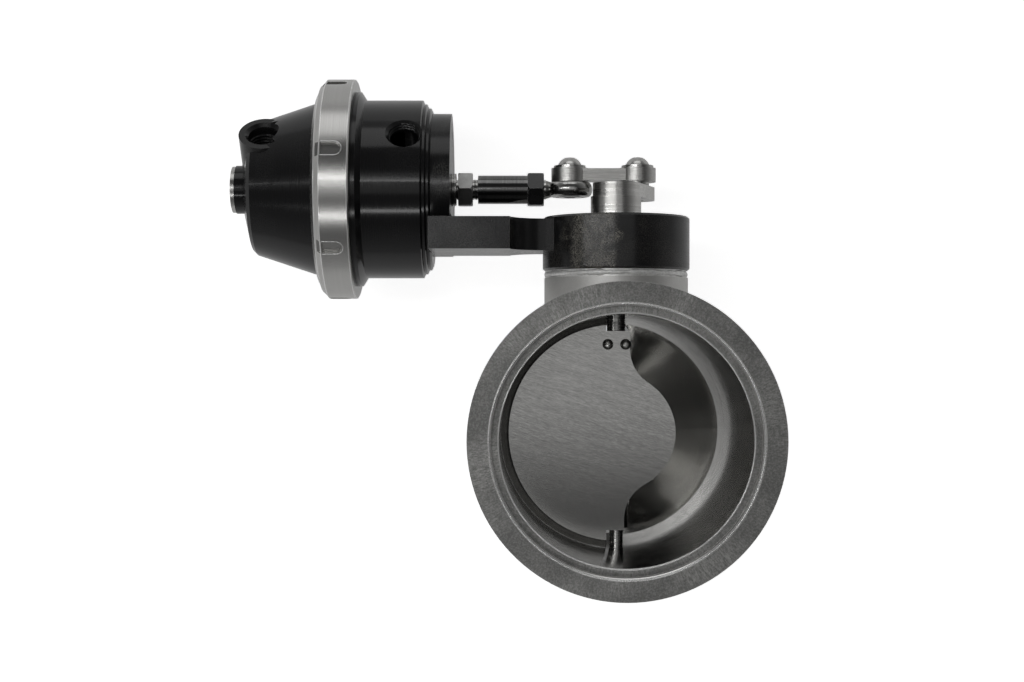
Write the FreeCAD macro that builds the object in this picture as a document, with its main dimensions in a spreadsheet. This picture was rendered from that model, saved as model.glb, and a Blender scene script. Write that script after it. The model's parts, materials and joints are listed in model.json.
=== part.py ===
import FreeCAD, Part
import math
import os
import re
from FreeCAD import Placement, Rotation, Vector

# Butterfly wastegate with a spring-return pneumatic actuator.
# Frame: +Z runs up the gas bore from the rear flange face, +Y along the shaft
# towards the linkage, and the actuator rod runs along X. Millimetres.

SIZES = [
    # valve body: a barrel with a clamp flange at each end and a neck for the shaft
    ("body_length", 84.0), ("flange_radius", 36.25), ("flange_rim", 2.6), ("flange_back", 1.6),
    ("barrel_radius", 32.4), ("bore_radius", 28.9), ("register_radius", 31.4),
    ("register_depth", 2.2), ("register_lead", 0.6), ("bore_lead", 0.3),
    ("neck_radius", 17.9), ("neck_top", 38.4), ("foot_radius", 7.5), ("foot_reach", 38.0),
    # seat insert pressed into the rear half of the bore
    ("seat_bore_radius", 26.9), ("seat_stop", 6.0), ("seat_top", 27.5), ("seat_wall", 1.8),
    ("seat_gap", 0.15), ("seat_overlap", 1.0),
    # flap: half disc on one side, narrow tongue on the other
    ("flap_radius", 28.72), ("flap_front", 3.2), ("flap_thickness", 2.6), ("flap_bevel", 1.9),
    ("tongue_radius", 14.6), ("tongue_fillet", 10.0), ("tongue_side", 3.3),
    ("tongue_foot_side", 1.8), ("flap_top", 25.2), ("flap_foot", 24.2), ("hub_radius", 3.1),
    ("stub_notch", 2.6), ("stub_depth", 9.0), ("flap_pin_half_spacing", 2.2), ("flap_pin_radius", 0.6),
    ("flap_pin_head", 1.35), ("flap_pin_rise", 0.9), ("flap_pin_height", 21.9),
    # shaft, pivot pin and their bearings
    ("stub_radius", 2.3), ("journal_radius", 3.5), ("journal_start", 31.0), ("bush_radius", 5.0),
    ("pivot_radius", 1.7), ("pivot_depth", 7.6), ("plug_radius", 3.0), ("plug_length", 4.5),
    ("running_gap", 0.05), ("press_gap", 0.02), ("flat_gap", 0.05),
    # gasket, bonnet and actuator bracket
    ("gasket_thickness", 1.8), ("gasket_radius", 17.5), ("bonnet_radius", 18.3),
    ("bonnet_height", 13.35), ("edge_break", 0.5), ("seal_radius", 5.8), ("seal_length", 2.6),
    ("bonnet_bolt_radius", 13.2), ("screw_radius", 2.0), ("screw_head_radius", 3.5),
    ("screw_head_height", 4.0), ("screw_grip", 7.5), ("head_clearance", 0.2),
    ("socket_width", 3.0), ("socket_depth", 2.0), ("lug_height", 4.7), ("arm_height", 7.8),
    ("arm_half_width", 17.5), ("arm_joint_distance", 26.6), ("waist_half_width", 9.3),
    ("waist_margin", 0.8), ("bracket_corner_radius", 2.6), ("arm_bolt_half_spacing", 6.5),
    ("bracket_thickness", 4.8), ("bracket_radius", 19.4),
    # actuator axis and housing, lengths measured away from the bracket
    ("rod_offset", 13.0), ("actuator_distance", 46.2), ("base_radius", 22.8),
    ("base_nose_radius", 19.9), ("ridge_height", 1.0), ("base_rim_radius", 24.9),
    ("base_rim_width", 1.2), ("base_rim_slope", 1.3), ("thread_radius", 24.4),
    ("thread_length", 6.1), ("base_length", 25.5), ("chamber_radius", 19.0), ("base_floor", 6.6),
    ("housing_gasket_thickness", 0.4), ("cap_flange_thickness", 1.8), ("collar_lip_thickness", 1.7),
    ("cap_radius", 22.3), ("cap_end_radius", 17.0), ("cap_cone_length", 16.0),
    ("cap_dome_height", 2.8), ("cap_crown_radius", 9.0), ("cap_wall", 2.4),
    ("collar_radius", 28.1), ("collar_lip_radius", 22.9), ("collar_bevel", 1.6),
    ("collar_slots", 7.0), ("collar_slot_width", 3.6), ("collar_slot_depth", 1.2),
    ("collar_slot_length", 6.6), ("port_radius", 3.9), ("port_depth", 7.0),
    ("port_mouth_depth", 0.8), ("base_port_distance", 6.4), ("base_port_angle", 33.0),
    ("cap_port_setback", 3.0), ("cap_port_angle", 47.0), ("cap_boss_radius", 6.3),
    ("cap_boss_reach", 17.8), ("bracket_screw_radius", 14.0), ("small_screw_radius", 1.5),
    ("small_head_radius", 2.75), ("small_head_height", 3.0), ("small_screw_grip", 5.0),
    # piston, rod, spring and adjuster
    ("piston_radius", 18.8), ("piston_setback", 0.5), ("piston_length", 4.5), ("hat_radius", 12.0),
    ("hat_wall", 1.8), ("hat_height", 16.5), ("piston_seal_depth", 1.6), ("piston_seal_width", 2.0),
    ("rod_radius", 3.0), ("guide_radius", 4.1), ("guide_reach", 1.1), ("guide_depth", 4.4),
    ("rod_seal_length", 2.0), ("thread_size", 2.5), ("piston_nut_length", 3.0),
    ("nut_width", 8.2), ("spring_radius", 8.2), ("spring_wire_radius", 1.0), ("spring_coils", 6.0),
    ("adjuster_radius", 6.2), ("adjuster_reach", 2.8), ("adjuster_ring_width", 1.0),
    ("adjuster_tip_radius", 4.0),
    # rod hardware, distances left of the shaft axis
    ("lock_nut_start", 39.8), ("lock_nut_length", 3.7), ("sleeve_start", 34.7),
    ("sleeve_end", 22.0), ("sleeve_radius", 3.65), ("shank_length", 5.5),
    ("end_nut_length", 4.2), ("eye_distance", 11.1), ("eye_radius", 5.65),
    ("eye_half_height", 1.7), ("ball_radius", 3.5), ("ball_half_height", 1.95),
    # crank and link
    ("shaft_collar_radius", 6.3), ("collar_gap", 0.25), ("shaft_collar_height", 5.0),
    ("crank_thickness", 3.4), ("spacer_height", 1.4), ("crank_reach", 6.3), ("crank_drop", 12.5),
    ("crank_boss_radius", 4.4), ("spacer_radius", 3.0), ("link_thickness", 3.55),
    ("link_boss_radius", 4.75), ("link_web_width", 7.0), ("link_eye_radius", 2.75),
    ("stud_radius", 1.5), ("washer_radius", 4.1), ("washer_thickness", 0.6), ("head_radius", 3.1),
    ("head_rise", 2.3), ("stud_depth", 3.0), ("overcut", 1.0),
]

# Lengths that follow from the sizes above, so that pieces which meet keep meeting.
TIES = {
    "arm_bottom": "neck_top+gasket_thickness+lug_height",
    "bonnet_top": "neck_top+gasket_thickness+bonnet_height",
    "crank_base": "bonnet_top+collar_gap",
    "crank_arm_base": "crank_base+shaft_collar_height",
    "crank_arm_top": "crank_arm_base+crank_thickness",
    "rod_height": "crank_arm_top+spacer_height+flat_gap-ball_half_height",
    "waist_radius": "arm_half_width+waist_margin-waist_half_width",
    "base_rim_end": "base_length-thread_length",
    "base_rim_start": "base_rim_end-base_rim_width",
    "base_shoulder": "base_rim_start-base_rim_slope",
    "cap_flange_end": "base_length+cap_flange_thickness",
    "collar_end": "cap_flange_end+collar_lip_thickness",
    "cap_cone_end": "collar_end+cap_cone_length",
    "cap_length": "cap_cone_end+cap_dome_height",
    "cap_port_distance": "cap_cone_end-cap_port_setback",
    "piston_start": "base_length-piston_length-piston_setback",
    "hat_end": "piston_start+hat_height",
}

doc = FreeCAD.newDocument("Wastegate")
sheet = doc.addObject("Spreadsheet::Sheet", "Sizes")
for row, (alias, number) in enumerate(SIZES, start=1):
    sheet.set("A%d" % row, alias.replace("_", " "))
    sheet.set("B%d" % row, str(number))
    sheet.setAlias("B%d" % row, alias)
doc.recompute()

TURN = {
    "+X": Rotation(Vector(0, 1, 0), 90),
    "-X": Rotation(Vector(0, 1, 0), -90),
    "+Y": Rotation(Vector(1, 0, 0), -90),
    "-Y": Rotation(Vector(1, 0, 0), 90),
    "+Z": Rotation(),
    "-Z": Rotation(Vector(1, 0, 0), 180),
}


def terms(expression):
    """Split a sum into signed terms of the sheet's own sizes, with tied lengths written out."""
    listed = []
    for sign, product in re.findall(r"([+-]?)([^+-]+)", expression):
        factors = product.split("*")
        tied = [factor for factor in factors if factor in TIES]
        if not tied:
            listed.append((sign or "+") + product)
            continue
        factors.remove(tied[0])
        for term in terms(TIES[tied[0]]):
            direction = "+" if term[0] == (sign or "+") else "-"
            listed += terms(direction + "*".join([term[1:]] + factors))
    return listed


def value(expression):
    """Work out a sum of products of sizes and numbers."""
    total = 0.0
    for term in terms(expression):
        product = -1.0 if term[0] == "-" else 1.0
        for factor in term[1:].split("*"):
            product *= float(sheet.get(factor)) if factor[0].isalpha() else float(factor)
        total += product
    return total


def size(alias):
    """Give one size as a plain number."""
    return value(alias)


def minus(expression):
    """The same sum with every sign turned round."""
    turned_round = expression.translate(str.maketrans("+-", "-+"))
    return turned_round if turned_round[0] in "+-" else "-" + turned_round


def scaled(expression, factor):
    """Terms to add to a sum: each term of the expression times a signed factor."""
    product = "".join(term + "*%.5f" % abs(factor) for term in terms(expression))
    return minus(product) if factor < 0 else product


def bound(expression):
    """Write a sum out as an expression on the sheet's cells."""
    return re.sub(r"[a-z][a-z0-9_]*", lambda match: "Sizes." + match.group(),
                  "".join(terms(expression)).lstrip("+"))


def place(piece, at, direction):
    """Put a piece's own origin at a point, with its own Z along a direction."""
    rotation = TURN[direction] if isinstance(direction, str) else direction
    piece.Placement = Placement(Vector(*[value(part) for part in at]), rotation)
    for axis, part in zip("xyz", at):
        piece.setExpression("Placement.Base." + axis, bound(part))
    return piece


def cylinder(name, radius, length, at, direction):
    """A round bar or hole tool."""
    piece = doc.addObject("Part::Cylinder", name)
    piece.setExpression("Radius", bound(radius))
    piece.setExpression("Height", bound(length))
    return place(piece, at, direction)


def cone(name, radius, end_radius, length, at, direction):
    """A tapered bar or countersink tool."""
    piece = doc.addObject("Part::Cone", name)
    piece.setExpression("Radius1", bound(radius))
    piece.setExpression("Radius2", bound(end_radius))
    piece.setExpression("Height", bound(length))
    return place(piece, at, direction)


def box(name, lengths, at):
    """A block with its edges along the frame's axes."""
    piece = doc.addObject("Part::Box", name)
    for key, part in zip(("Length", "Width", "Height"), lengths):
        piece.setExpression(key, bound(part))
    return place(piece, at, "+Z")


def hexagon(name, across, length, at, direction):
    """A hexagonal bar, sized across its flats."""
    piece = doc.addObject("Part::Prism", name)
    piece.Polygon = 6
    piece.setExpression("Circumradius", bound(across + "*0.57735"))
    piece.setExpression("Height", bound(length))
    return place(piece, at, direction)


def fused(name, pieces):
    """Join pieces into one solid."""
    piece = doc.addObject("Part::MultiFuse", name)
    piece.Shapes = pieces
    return piece


def drilled(name, base, tools):
    """Cut tools out of a piece."""
    piece = doc.addObject("Part::Cut", name)
    piece.Base = base
    piece.Tool = tools[0] if len(tools) == 1 else fused(name + "Tools", tools)
    return piece


def shaped(name, shape):
    """Hold a shape that Part's own functions made."""
    piece = doc.addObject("Part::Feature", name)
    piece.Shape = shape
    return piece


def turned(name, profile, at, direction):
    """A turned piece: a profile of (radius, distance along the axis) points, revolved."""
    body = doc.addObject("PartDesign::Body", name)
    sketch = body.newObject("Sketcher::SketchObject", name + "Profile")
    plane = [item for item in body.Origin.OriginFeatures if item.Role == "XZ_Plane"][0]
    sketch.AttachmentSupport = (plane, [""])
    sketch.MapMode = "FlatFace"
    points = [Vector(value(radius), value(along), 0) for radius, along in profile]
    count = len(points)
    for index in range(count):
        sketch.addGeometry(Part.LineSegment(points[index], points[(index + 1) % count]), False)
    for index in range(count):
        before = (index - 1) % count
        sketch.addConstraint(Sketcher.Constraint("Coincident", before, 2, index, 1))
    for index, (radius, along) in enumerate(profile):
        for kind, own_axis, part in (("DistanceX", -2, radius), ("DistanceY", -1, along)):
            if part == "0":
                sketch.addConstraint(Sketcher.Constraint("PointOnObject", index, 1, own_axis))
                continue
            number = sketch.addConstraint(
                Sketcher.Constraint(kind, -1, 1, index, 1, value(part)))
            sketch.setExpression("Constraints[%d]" % number, bound(part))
    solid = body.newObject("PartDesign::Revolution", name + "Turn")
    solid.Profile = sketch
    solid.ReferenceAxis = (sketch, ["V_Axis"])
    solid.Angle = 360.0
    return place(body, at, direction)


import Sketcher

SHAFT = "body_length*0.5"
GASKET_TOP = "neck_top+gasket_thickness"
BONNET_TOP = "bonnet_top"
ROD = "body_length*0.5-rod_offset"
ACTUATOR = ("-actuator_distance", "rod_height", ROD)


def along_actuator(distance):
    """A point on the actuator's axis, a distance left of the bracket."""
    return ("-actuator_distance" + minus(distance), "rod_height", ROD)


def on_rod(distance):
    """A point on the rod's axis, a distance left of the shaft."""
    return (minus(distance), "rod_height", ROD)


def bonnet_bolts(name, radius, length, height, direction):
    """Four round tools on the bonnet's bolt circle."""
    tools = []
    half = "bonnet_bolt_radius*0.70711"
    for index, (side, depth) in enumerate(((1, 1), (1, -1), (-1, 1), (-1, -1))):
        across = half if side > 0 else "-" + half
        up = SHAFT + ("+" if depth > 0 else "-") + half
        tools.append(cylinder("%s%d" % (name, index), radius, length, (across, height, up), direction))
    return tools


# ---------------------------------------------------------------- valve body
def valve_body():
    """Barrel with two clamp flanges, the shaft neck on top and a pivot boss below."""
    outside = turned("BarrelOutside", [
        ("0", "0"), ("flange_radius", "0"), ("flange_radius", "flange_rim"),
        ("barrel_radius", "flange_rim+flange_back"),
        ("barrel_radius", "body_length-flange_rim-flange_back"),
        ("flange_radius", "body_length-flange_rim"), ("flange_radius", "body_length"),
        ("0", "body_length")], ("0", "0", "0"), "+Z")
    neck = cylinder("Neck", "neck_radius", "neck_top", ("0", "0", SHAFT), "+Y")
    foot = cylinder("Foot", "foot_radius", "foot_reach", ("0", "0", SHAFT), "-Y")
    blank = fused("BodyBlank", [outside, neck, foot])
    inner = "register_radius-register_lead"
    bore = turned("BodyBore", [
        ("0", "0"), (inner, "0"), (inner, "overcut+register_depth"),
        ("seat_bore_radius+bore_lead", "overcut+register_depth"),
        ("seat_bore_radius", "overcut+register_depth+bore_lead"),
        ("seat_bore_radius", "overcut+seat_stop"), ("bore_radius", "overcut+seat_stop"),
        ("bore_radius", "overcut+body_length-register_depth-bore_lead"),
        ("bore_radius+bore_lead", "overcut+body_length-register_depth"),
        (inner, "overcut+body_length-register_depth"), (inner, "overcut+body_length-register_lead"),
        ("register_radius", "overcut+body_length"), ("register_radius", "overcut*2+body_length"),
        ("0", "overcut*2+body_length")], ("0", "0", "-overcut"), "+Z")
    stub = cylinder("StubHole", "stub_radius+running_gap*4", "neck_top", ("0", "0", SHAFT), "+Y")
    seat = cylinder("NeckBushSeat", "bush_radius", "neck_top-journal_start+overcut",
                    ("0", "journal_start", SHAFT), "+Y")
    pivot = cylinder("PivotHole", "pivot_radius+press_gap", "foot_reach", ("0", "0", SHAFT), "-Y")
    plug = cylinder("PlugHole", "plug_radius+press_gap", "plug_length+overcut",
                    ("0", "-foot_reach+plug_length", SHAFT), "-Y")
    taps = bonnet_bolts("NeckTap", "screw_radius+press_gap", "screw_grip+overcut*2",
                        "neck_top-screw_grip-overcut", "+Y")
    return drilled("ValveBody", blank, [bore, stub, seat, pivot, plug] + taps)


def tangent_fillet(side, radius, fillet):
    """Centre height of a fillet that is tangent to an upright side and to the tongue's arc."""
    return math.sqrt((radius + fillet) ** 2 - (side + fillet) ** 2)


def arc_about(centre, radius, first, last, height):
    """An arc edge in a level plane, given by its centre, radius and two angles in degrees."""
    def point(angle):
        turn = math.radians(angle)
        return Vector(centre[0] + radius * math.cos(turn), centre[1] + radius * math.sin(turn), height)
    return Part.Arc(point(first), point((first + last) / 2), point(last)).toShape()


def tongue_edges(inset, height):
    """The tongue's right-hand outline, from its top corner round to its lower corner."""
    radius = size("tongue_radius") - inset
    fillet = size("tongue_fillet") + inset
    sides = (size("tongue_side") - inset, size("tongue_foot_side") - inset)
    upper = (sides[0] + fillet, tangent_fillet(sides[0], radius, fillet))
    lower = (sides[1] + fillet, -tangent_fillet(sides[1], radius, fillet))
    upper_angle = math.degrees(math.atan2(upper[1], upper[0]))
    lower_angle = math.degrees(math.atan2(lower[1], lower[0]))
    return sides, upper, lower, [
        arc_about(upper, fillet, 180.0, 180.0 + upper_angle, height),
        arc_about((0, 0), radius, upper_angle, lower_angle, height),
        arc_about(lower, fillet, 180.0 + lower_angle, 180.0, height),
    ]


def line(start, end):
    """A straight edge."""
    return Part.LineSegment(Vector(*start), Vector(*end)).toShape()


def seat_wire(inset, height, reach):
    """Closed outline of the seat wall's crest, from its top corner to its lower corner."""
    sides, upper, lower, arcs = tongue_edges(inset, height)
    top = (sides[0], reach, height)
    foot = (sides[1], -reach, height)
    return Part.Wire([line(top, (sides[0], upper[1], height))] + arcs
                     + [line((sides[1], lower[1], height), foot), line(foot, top)])


def seat_foot_wire(radius, height):
    """Closed outline of the seat wall's foot: a round arc in the same five stretches."""
    angles = [84.0, 76.0, 42.0, -42.0, -76.0, -86.0]
    arcs = [arc_about((0, 0), radius, first, last, height)
            for first, last in zip(angles, angles[1:])]
    corners = [Vector(radius * math.cos(math.radians(angle)), radius * math.sin(math.radians(angle)),
                      height) for angle in (angles[-1], angles[0])]
    return Part.Wire(arcs + [Part.LineSegment(*corners).toShape()])


def ruled_solid(lower, upper):
    """A solid between two closed outlines, with straight rulings from one to the other."""
    solid = Part.makeLoft([lower, upper], True, True)
    solid.fix(1e-4, 1e-4, 1e-3)
    return solid


def seat_insert():
    """Sleeve in the rear bore whose ramp rises to a window behind the flap's tongue."""
    sleeve = cylinder("SleeveOutside", "bore_radius-press_gap", "seat_top-seat_stop",
                      ("0", "0", "seat_stop"), "+Z")
    hole = cylinder("SleeveBore", "seat_bore_radius", "seat_top-seat_stop+overcut*2",
                    ("0", "0", "seat_stop-overcut"), "+Z")
    crest = value(SHAFT + "+flap_front-flap_thickness-seat_gap")
    foot = size("seat_top") - size("bore_lead")
    wall = size("seat_wall")
    outer = ruled_solid(seat_foot_wire(size("seat_bore_radius") + size("overcut") / 2, foot),
                        seat_wire(0.0, crest, size("flap_top")))
    inner = ruled_solid(seat_foot_wire(size("seat_bore_radius") - wall, foot - wall / 4),
                        seat_wire(size("seat_overlap"), crest + wall / 4,
                                  size("flap_top") + wall / 2))
    ramp = shaped("SeatRamp", outer.cut(inner))
    ring = drilled("SeatRing", sleeve, [hole])
    trimmer = cylinder("RampTrimmer", "bore_radius-press_gap", "body_length", ("0", "0", "0"), "+Z")
    trimmed = doc.addObject("Part::Common", "SeatRampTrimmed")
    trimmed.Base, trimmed.Tool = ramp, trimmer
    clear = cylinder("HubClearance", "hub_radius+seat_gap", "bore_radius*2", ("0", "-bore_radius", SHAFT),
                     "+Y")
    open_side = box("SeatOpenSide", ("bore_radius", "bore_radius*2", "body_length"),
                    ("-bore_radius+seat_gap", "-bore_radius", "seat_top"))
    return drilled("SeatInsert", fused("SeatBlank", [ring, trimmed]), [clear, open_side])


def flap():
    """Half disc and tongue in one plate, with the shaft's hub along its back."""
    height = value(SHAFT + "+flap_front-flap_thickness")
    radius, notch = size("flap_radius"), size("stub_notch")
    top, foot = size("flap_top"), size("flap_foot")
    sides, upper, lower, arcs = tongue_edges(0.0, height)
    rim = math.sqrt(radius ** 2 - notch ** 2)
    half_disc = Part.Arc(Vector(-notch, -rim, height), Vector(-radius, 0, height),
                         Vector(-notch, rim, height)).toShape()
    outline = Part.Wire([
        half_disc, line((-notch, rim, height), (-notch, top, height)),
        line((-notch, top, height), (sides[0], top, height)),
        line((sides[0], top, height), (sides[0], upper[1], height))] + arcs + [
        line((sides[1], lower[1], height), (sides[1], -foot, height)),
        line((sides[1], -foot, height), (-notch, -foot, height)),
        line((-notch, -foot, height), (-notch, -rim, height))])
    plate = shaped("FlapPlate", Part.Face(outline).extrude(Vector(0, 0, size("flap_thickness"))))
    front = SHAFT + "+flap_front"
    ring = cylinder("BevelRing", "flap_radius+overcut", "flap_bevel", ("0", "0", front + "-flap_bevel"),
                    "+Z")
    core = cone("BevelCore", "flap_radius+flap_bevel*0.1", "flap_radius-flap_bevel", "flap_bevel",
                ("0", "0", front + "-flap_bevel"), "+Z")
    bevel = drilled("FlapBevel", ring, [core])
    bevelled = drilled("FlapBevelled", plate, [bevel])
    hub = cylinder("FlapHub", "hub_radius", "flap_top+flap_foot-edge_break*2",
                   ("0", "-flap_foot+edge_break", SHAFT), "+Y")
    stub = cylinder("FlapStubBore", "stub_radius+press_gap", "stub_depth+overcut",
                    ("0", "flap_top-stub_depth", SHAFT), "+Y")
    pivot = cylinder("FlapPivotBore", "pivot_radius+running_gap", "pivot_depth+overcut",
                     ("0", "-flap_foot+pivot_depth", SHAFT), "-Y")
    holes = [cylinder("FlapPinHole%d" % index, "flap_pin_radius+press_gap", "hub_radius+flap_front",
                      (across, "flap_pin_height", SHAFT + "-stub_radius*0.5"), "+Z")
             for index, across in enumerate(("flap_pin_half_spacing", "-flap_pin_half_spacing"))]
    return drilled("Flap", fused("FlapBlank", [bevelled, hub]), [stub, pivot] + holes)


def domed_head(name, radius, rise, at, direction):
    """A low domed screw or rivet head: the top slice of a sphere."""
    ball_radius = (size(radius) ** 2 + size(rise) ** 2) / (2 * size(rise))
    ball = Part.makeSphere(ball_radius, Vector(0, 0, size(rise) - ball_radius))
    keep = Part.makeCylinder(size(radius) + size("overcut"), size(rise) + size("overcut"))
    return place(shaped(name, ball.common(keep)), at, direction)


def flap_pins():
    """Two cross pins that lock the flap to the shaft, one on each side of it."""
    pins = []
    for index, across in enumerate(("flap_pin_half_spacing", "-flap_pin_half_spacing")):
        shank = cylinder("FlapPinShank%d" % index, "flap_pin_radius", "stub_radius*0.5+flap_front",
                         (across, "flap_pin_height", SHAFT + "-stub_radius*0.5"), "+Z")
        head = domed_head("FlapPinHead%d" % index, "flap_pin_head", "flap_pin_rise",
                          (across, "flap_pin_height", SHAFT + "+flap_front"), "+Z")
        pins.append(fused("FlapPin%d" % index, [shank, head]))
    group = doc.addObject("Part::Compound", "FlapPins")
    group.Links = pins
    return group


def shaft():
    """Stepped shaft: a slim stub in the flap, a journal through the neck and bonnet."""
    start = "flap_top-stub_depth"
    bar = turned("ShaftBar", [
        ("0", "0"), ("stub_radius-edge_break", "0"), ("stub_radius", "edge_break"),
        ("stub_radius", "journal_start+running_gap*4-flap_top+stub_depth"),
        ("journal_radius", "journal_start+running_gap*4-flap_top+stub_depth"),
        ("journal_radius", "crank_arm_top-flap_top+stub_depth"),
        ("0", "crank_arm_top-flap_top+stub_depth")], ("0", start, SHAFT), "+Y")
    grooves = [cylinder("ShaftGroove%d" % index, "flap_pin_radius+press_gap", "hub_radius*2",
                        (across, "flap_pin_height", SHAFT + "-hub_radius"), "+Z")
               for index, across in enumerate(("flap_pin_half_spacing", "-flap_pin_half_spacing"))]
    return drilled("Shaft", bar, grooves)


def sleeve_piece(name, inside, outside, length, at, direction):
    """A plain ring, bush, washer or seal."""
    body = cylinder(name + "Outside", outside, length, at, direction)
    hole = cylinder(name + "Hole", inside, length, at, direction)
    return drilled(name, body, [hole])


def bearings():
    """Bushes, packing and pivot of the shaft, each a piece of its own."""
    neck = sleeve_piece("NeckBush", "journal_radius+running_gap", "bush_radius-press_gap",
                        "neck_top-journal_start-edge_break*2", ("0", "journal_start", SHAFT), "+Y")
    upper = sleeve_piece("BonnetBush", "journal_radius+running_gap", "bush_radius-press_gap",
                         "bonnet_height-seal_length-edge_break*2", ("0", GASKET_TOP, SHAFT), "+Y")
    seal = sleeve_piece("ShaftSeal", "journal_radius+running_gap", "seal_radius-press_gap",
                        "seal_length-edge_break", ("0", BONNET_TOP + "-seal_length", SHAFT), "+Y")
    pin = cylinder("PivotPin", "pivot_radius", "foot_reach-plug_length-flap_foot+pivot_depth-edge_break",
                   ("0", "-flap_foot+pivot_depth-edge_break", SHAFT), "-Y")
    plug = cylinder("PlugBlank", "plug_radius", "plug_length",
                    ("0", "-foot_reach+plug_length", SHAFT), "-Y")
    socket = hexagon("PlugSocket", "socket_width", "socket_depth+overcut",
                     ("0", "-foot_reach+socket_depth", SHAFT), "-Y")
    return neck, upper, seal, pin, drilled("FootPlug", plug, [socket])


def bonnet():
    """Round bearing housing on the neck, with a waisted lug that carries the bracket."""
    puck = turned("BonnetPuck", [
        ("0", "0"), ("bonnet_radius-edge_break", "0"), ("bonnet_radius", "edge_break"),
        ("bonnet_radius", "bonnet_height-edge_break"), ("bonnet_radius-edge_break", "bonnet_height"),
        ("0", "bonnet_height")], ("0", GASKET_TOP, SHAFT), "+Y")
    lug = box("BonnetLug", ("arm_joint_distance", "arm_height", "arm_half_width*2"),
              ("-arm_joint_distance", "arm_bottom", SHAFT + "-arm_half_width"))
    waists = [cylinder("BonnetWaist%d" % index, "waist_radius", "arm_height+overcut*2",
                       ("-arm_joint_distance+waist_radius", "arm_bottom-overcut", SHAFT + place_at), "+Y")
              for index, place_at in enumerate(("+waist_half_width+waist_radius", "-waist_half_width-waist_radius"))]
    corner = [box("BonnetCorner%d" % index, ("arm_joint_distance", "arm_height+overcut*2", "arm_half_width"),
                  ("-arm_joint_distance+waist_radius", "arm_bottom-overcut", SHAFT + place_at))
              for index, place_at in enumerate(("+waist_half_width", "-waist_half_width-arm_half_width"))]
    waisted = drilled("BonnetLugWaisted", lug, waists + corner)
    blank = fused("BonnetBlank", [puck, waisted])
    bore = cylinder("BonnetBore", "bush_radius", "bonnet_height+overcut*2",
                    ("0", GASKET_TOP + "-overcut", SHAFT), "+Y")
    seal = cylinder("BonnetSealSeat", "seal_radius", "seal_length+overcut",
                    ("0", BONNET_TOP + "-seal_length", SHAFT), "+Y")
    holes = bonnet_bolts("BonnetHole", "screw_radius+press_gap", "bonnet_height+overcut*2",
                         GASKET_TOP + "-overcut", "+Y")
    heads = bonnet_bolts("BonnetHead", "screw_head_radius+head_clearance",
                         "screw_head_height+head_clearance+overcut",
                         BONNET_TOP + "-screw_head_height-head_clearance", "+Y")
    taps = bracket_holes("BonnetTap", "screw_radius+press_gap", "screw_grip",
                         "-arm_joint_distance", "+X")
    return drilled("Bonnet", blank, [bore, seal] + holes + heads + taps)


def bracket_holes(name, radius, length, across, direction):
    """Two round tools along the bracket arm."""
    height = "arm_bottom+arm_height*0.5"
    return [cylinder("%s%d" % (name, index), radius, length, (across, height, SHAFT + part), direction)
            for index, part in enumerate(("+arm_bolt_half_spacing", "-arm_bolt_half_spacing"))]


def socket_screws(name, spots, radius, grip, head, rise, direction):
    """Cap screws as one node: a cylinder head with a hexagon socket, and a plain shank."""
    screws = []
    for index, (head_base, shank_end) in enumerate(spots):
        body = cylinder("%sHead%d" % (name, index), head, rise, head_base, direction)
        shank = cylinder("%sShank%d" % (name, index), radius, grip, shank_end, direction)
        blank = fused("%sBlank%d" % (name, index), [body, shank])
        top = shift(head_base, direction, rise + "-socket_depth*0.9")
        socket = hexagon("%sSocket%d" % (name, index), head + "*0.85", "socket_depth", top, direction)
        screws.append(drilled("%s%d" % (name, index), blank, [socket]))
    group = doc.addObject("Part::Compound", name)
    group.Links = screws
    return group


def shift(at, direction, distance):
    """A point moved along one of the frame's directions."""
    index = "XYZ".index(direction[1])
    moved = list(at)
    moved[index] += minus(distance) if direction[0] == "-" else "+" + distance
    return tuple(moved)


def bonnet_screws():
    """Four cap screws that hold the bonnet on the neck."""
    spots = []
    half = "bonnet_bolt_radius*0.70711"
    grip = "bonnet_height+gasket_thickness-screw_head_height-head_clearance+screw_grip"
    for side in ("", "-"):
        for sign in ("+", "-"):
            up = SHAFT + sign + half
            spots.append(((side + half, BONNET_TOP + "-screw_head_height-head_clearance", up),
                          (side + half, "neck_top-screw_grip", up)))
    return socket_screws("BonnetScrews", spots, "screw_radius", grip, "screw_head_radius",
                         "screw_head_height", "+Y")


def gasket():
    """Flat gasket between neck and bonnet."""
    disc = cylinder("GasketDisc", "gasket_radius", "gasket_thickness", ("0", "neck_top", SHAFT), "+Y")
    hole = cylinder("GasketHole", "bush_radius+edge_break", "gasket_thickness", ("0", "neck_top", SHAFT),
                    "+Y")
    holes = bonnet_bolts("GasketBolt", "screw_radius+head_clearance", "gasket_thickness", "neck_top", "+Y")
    return drilled("NeckGasket", disc, [hole] + holes)


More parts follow.
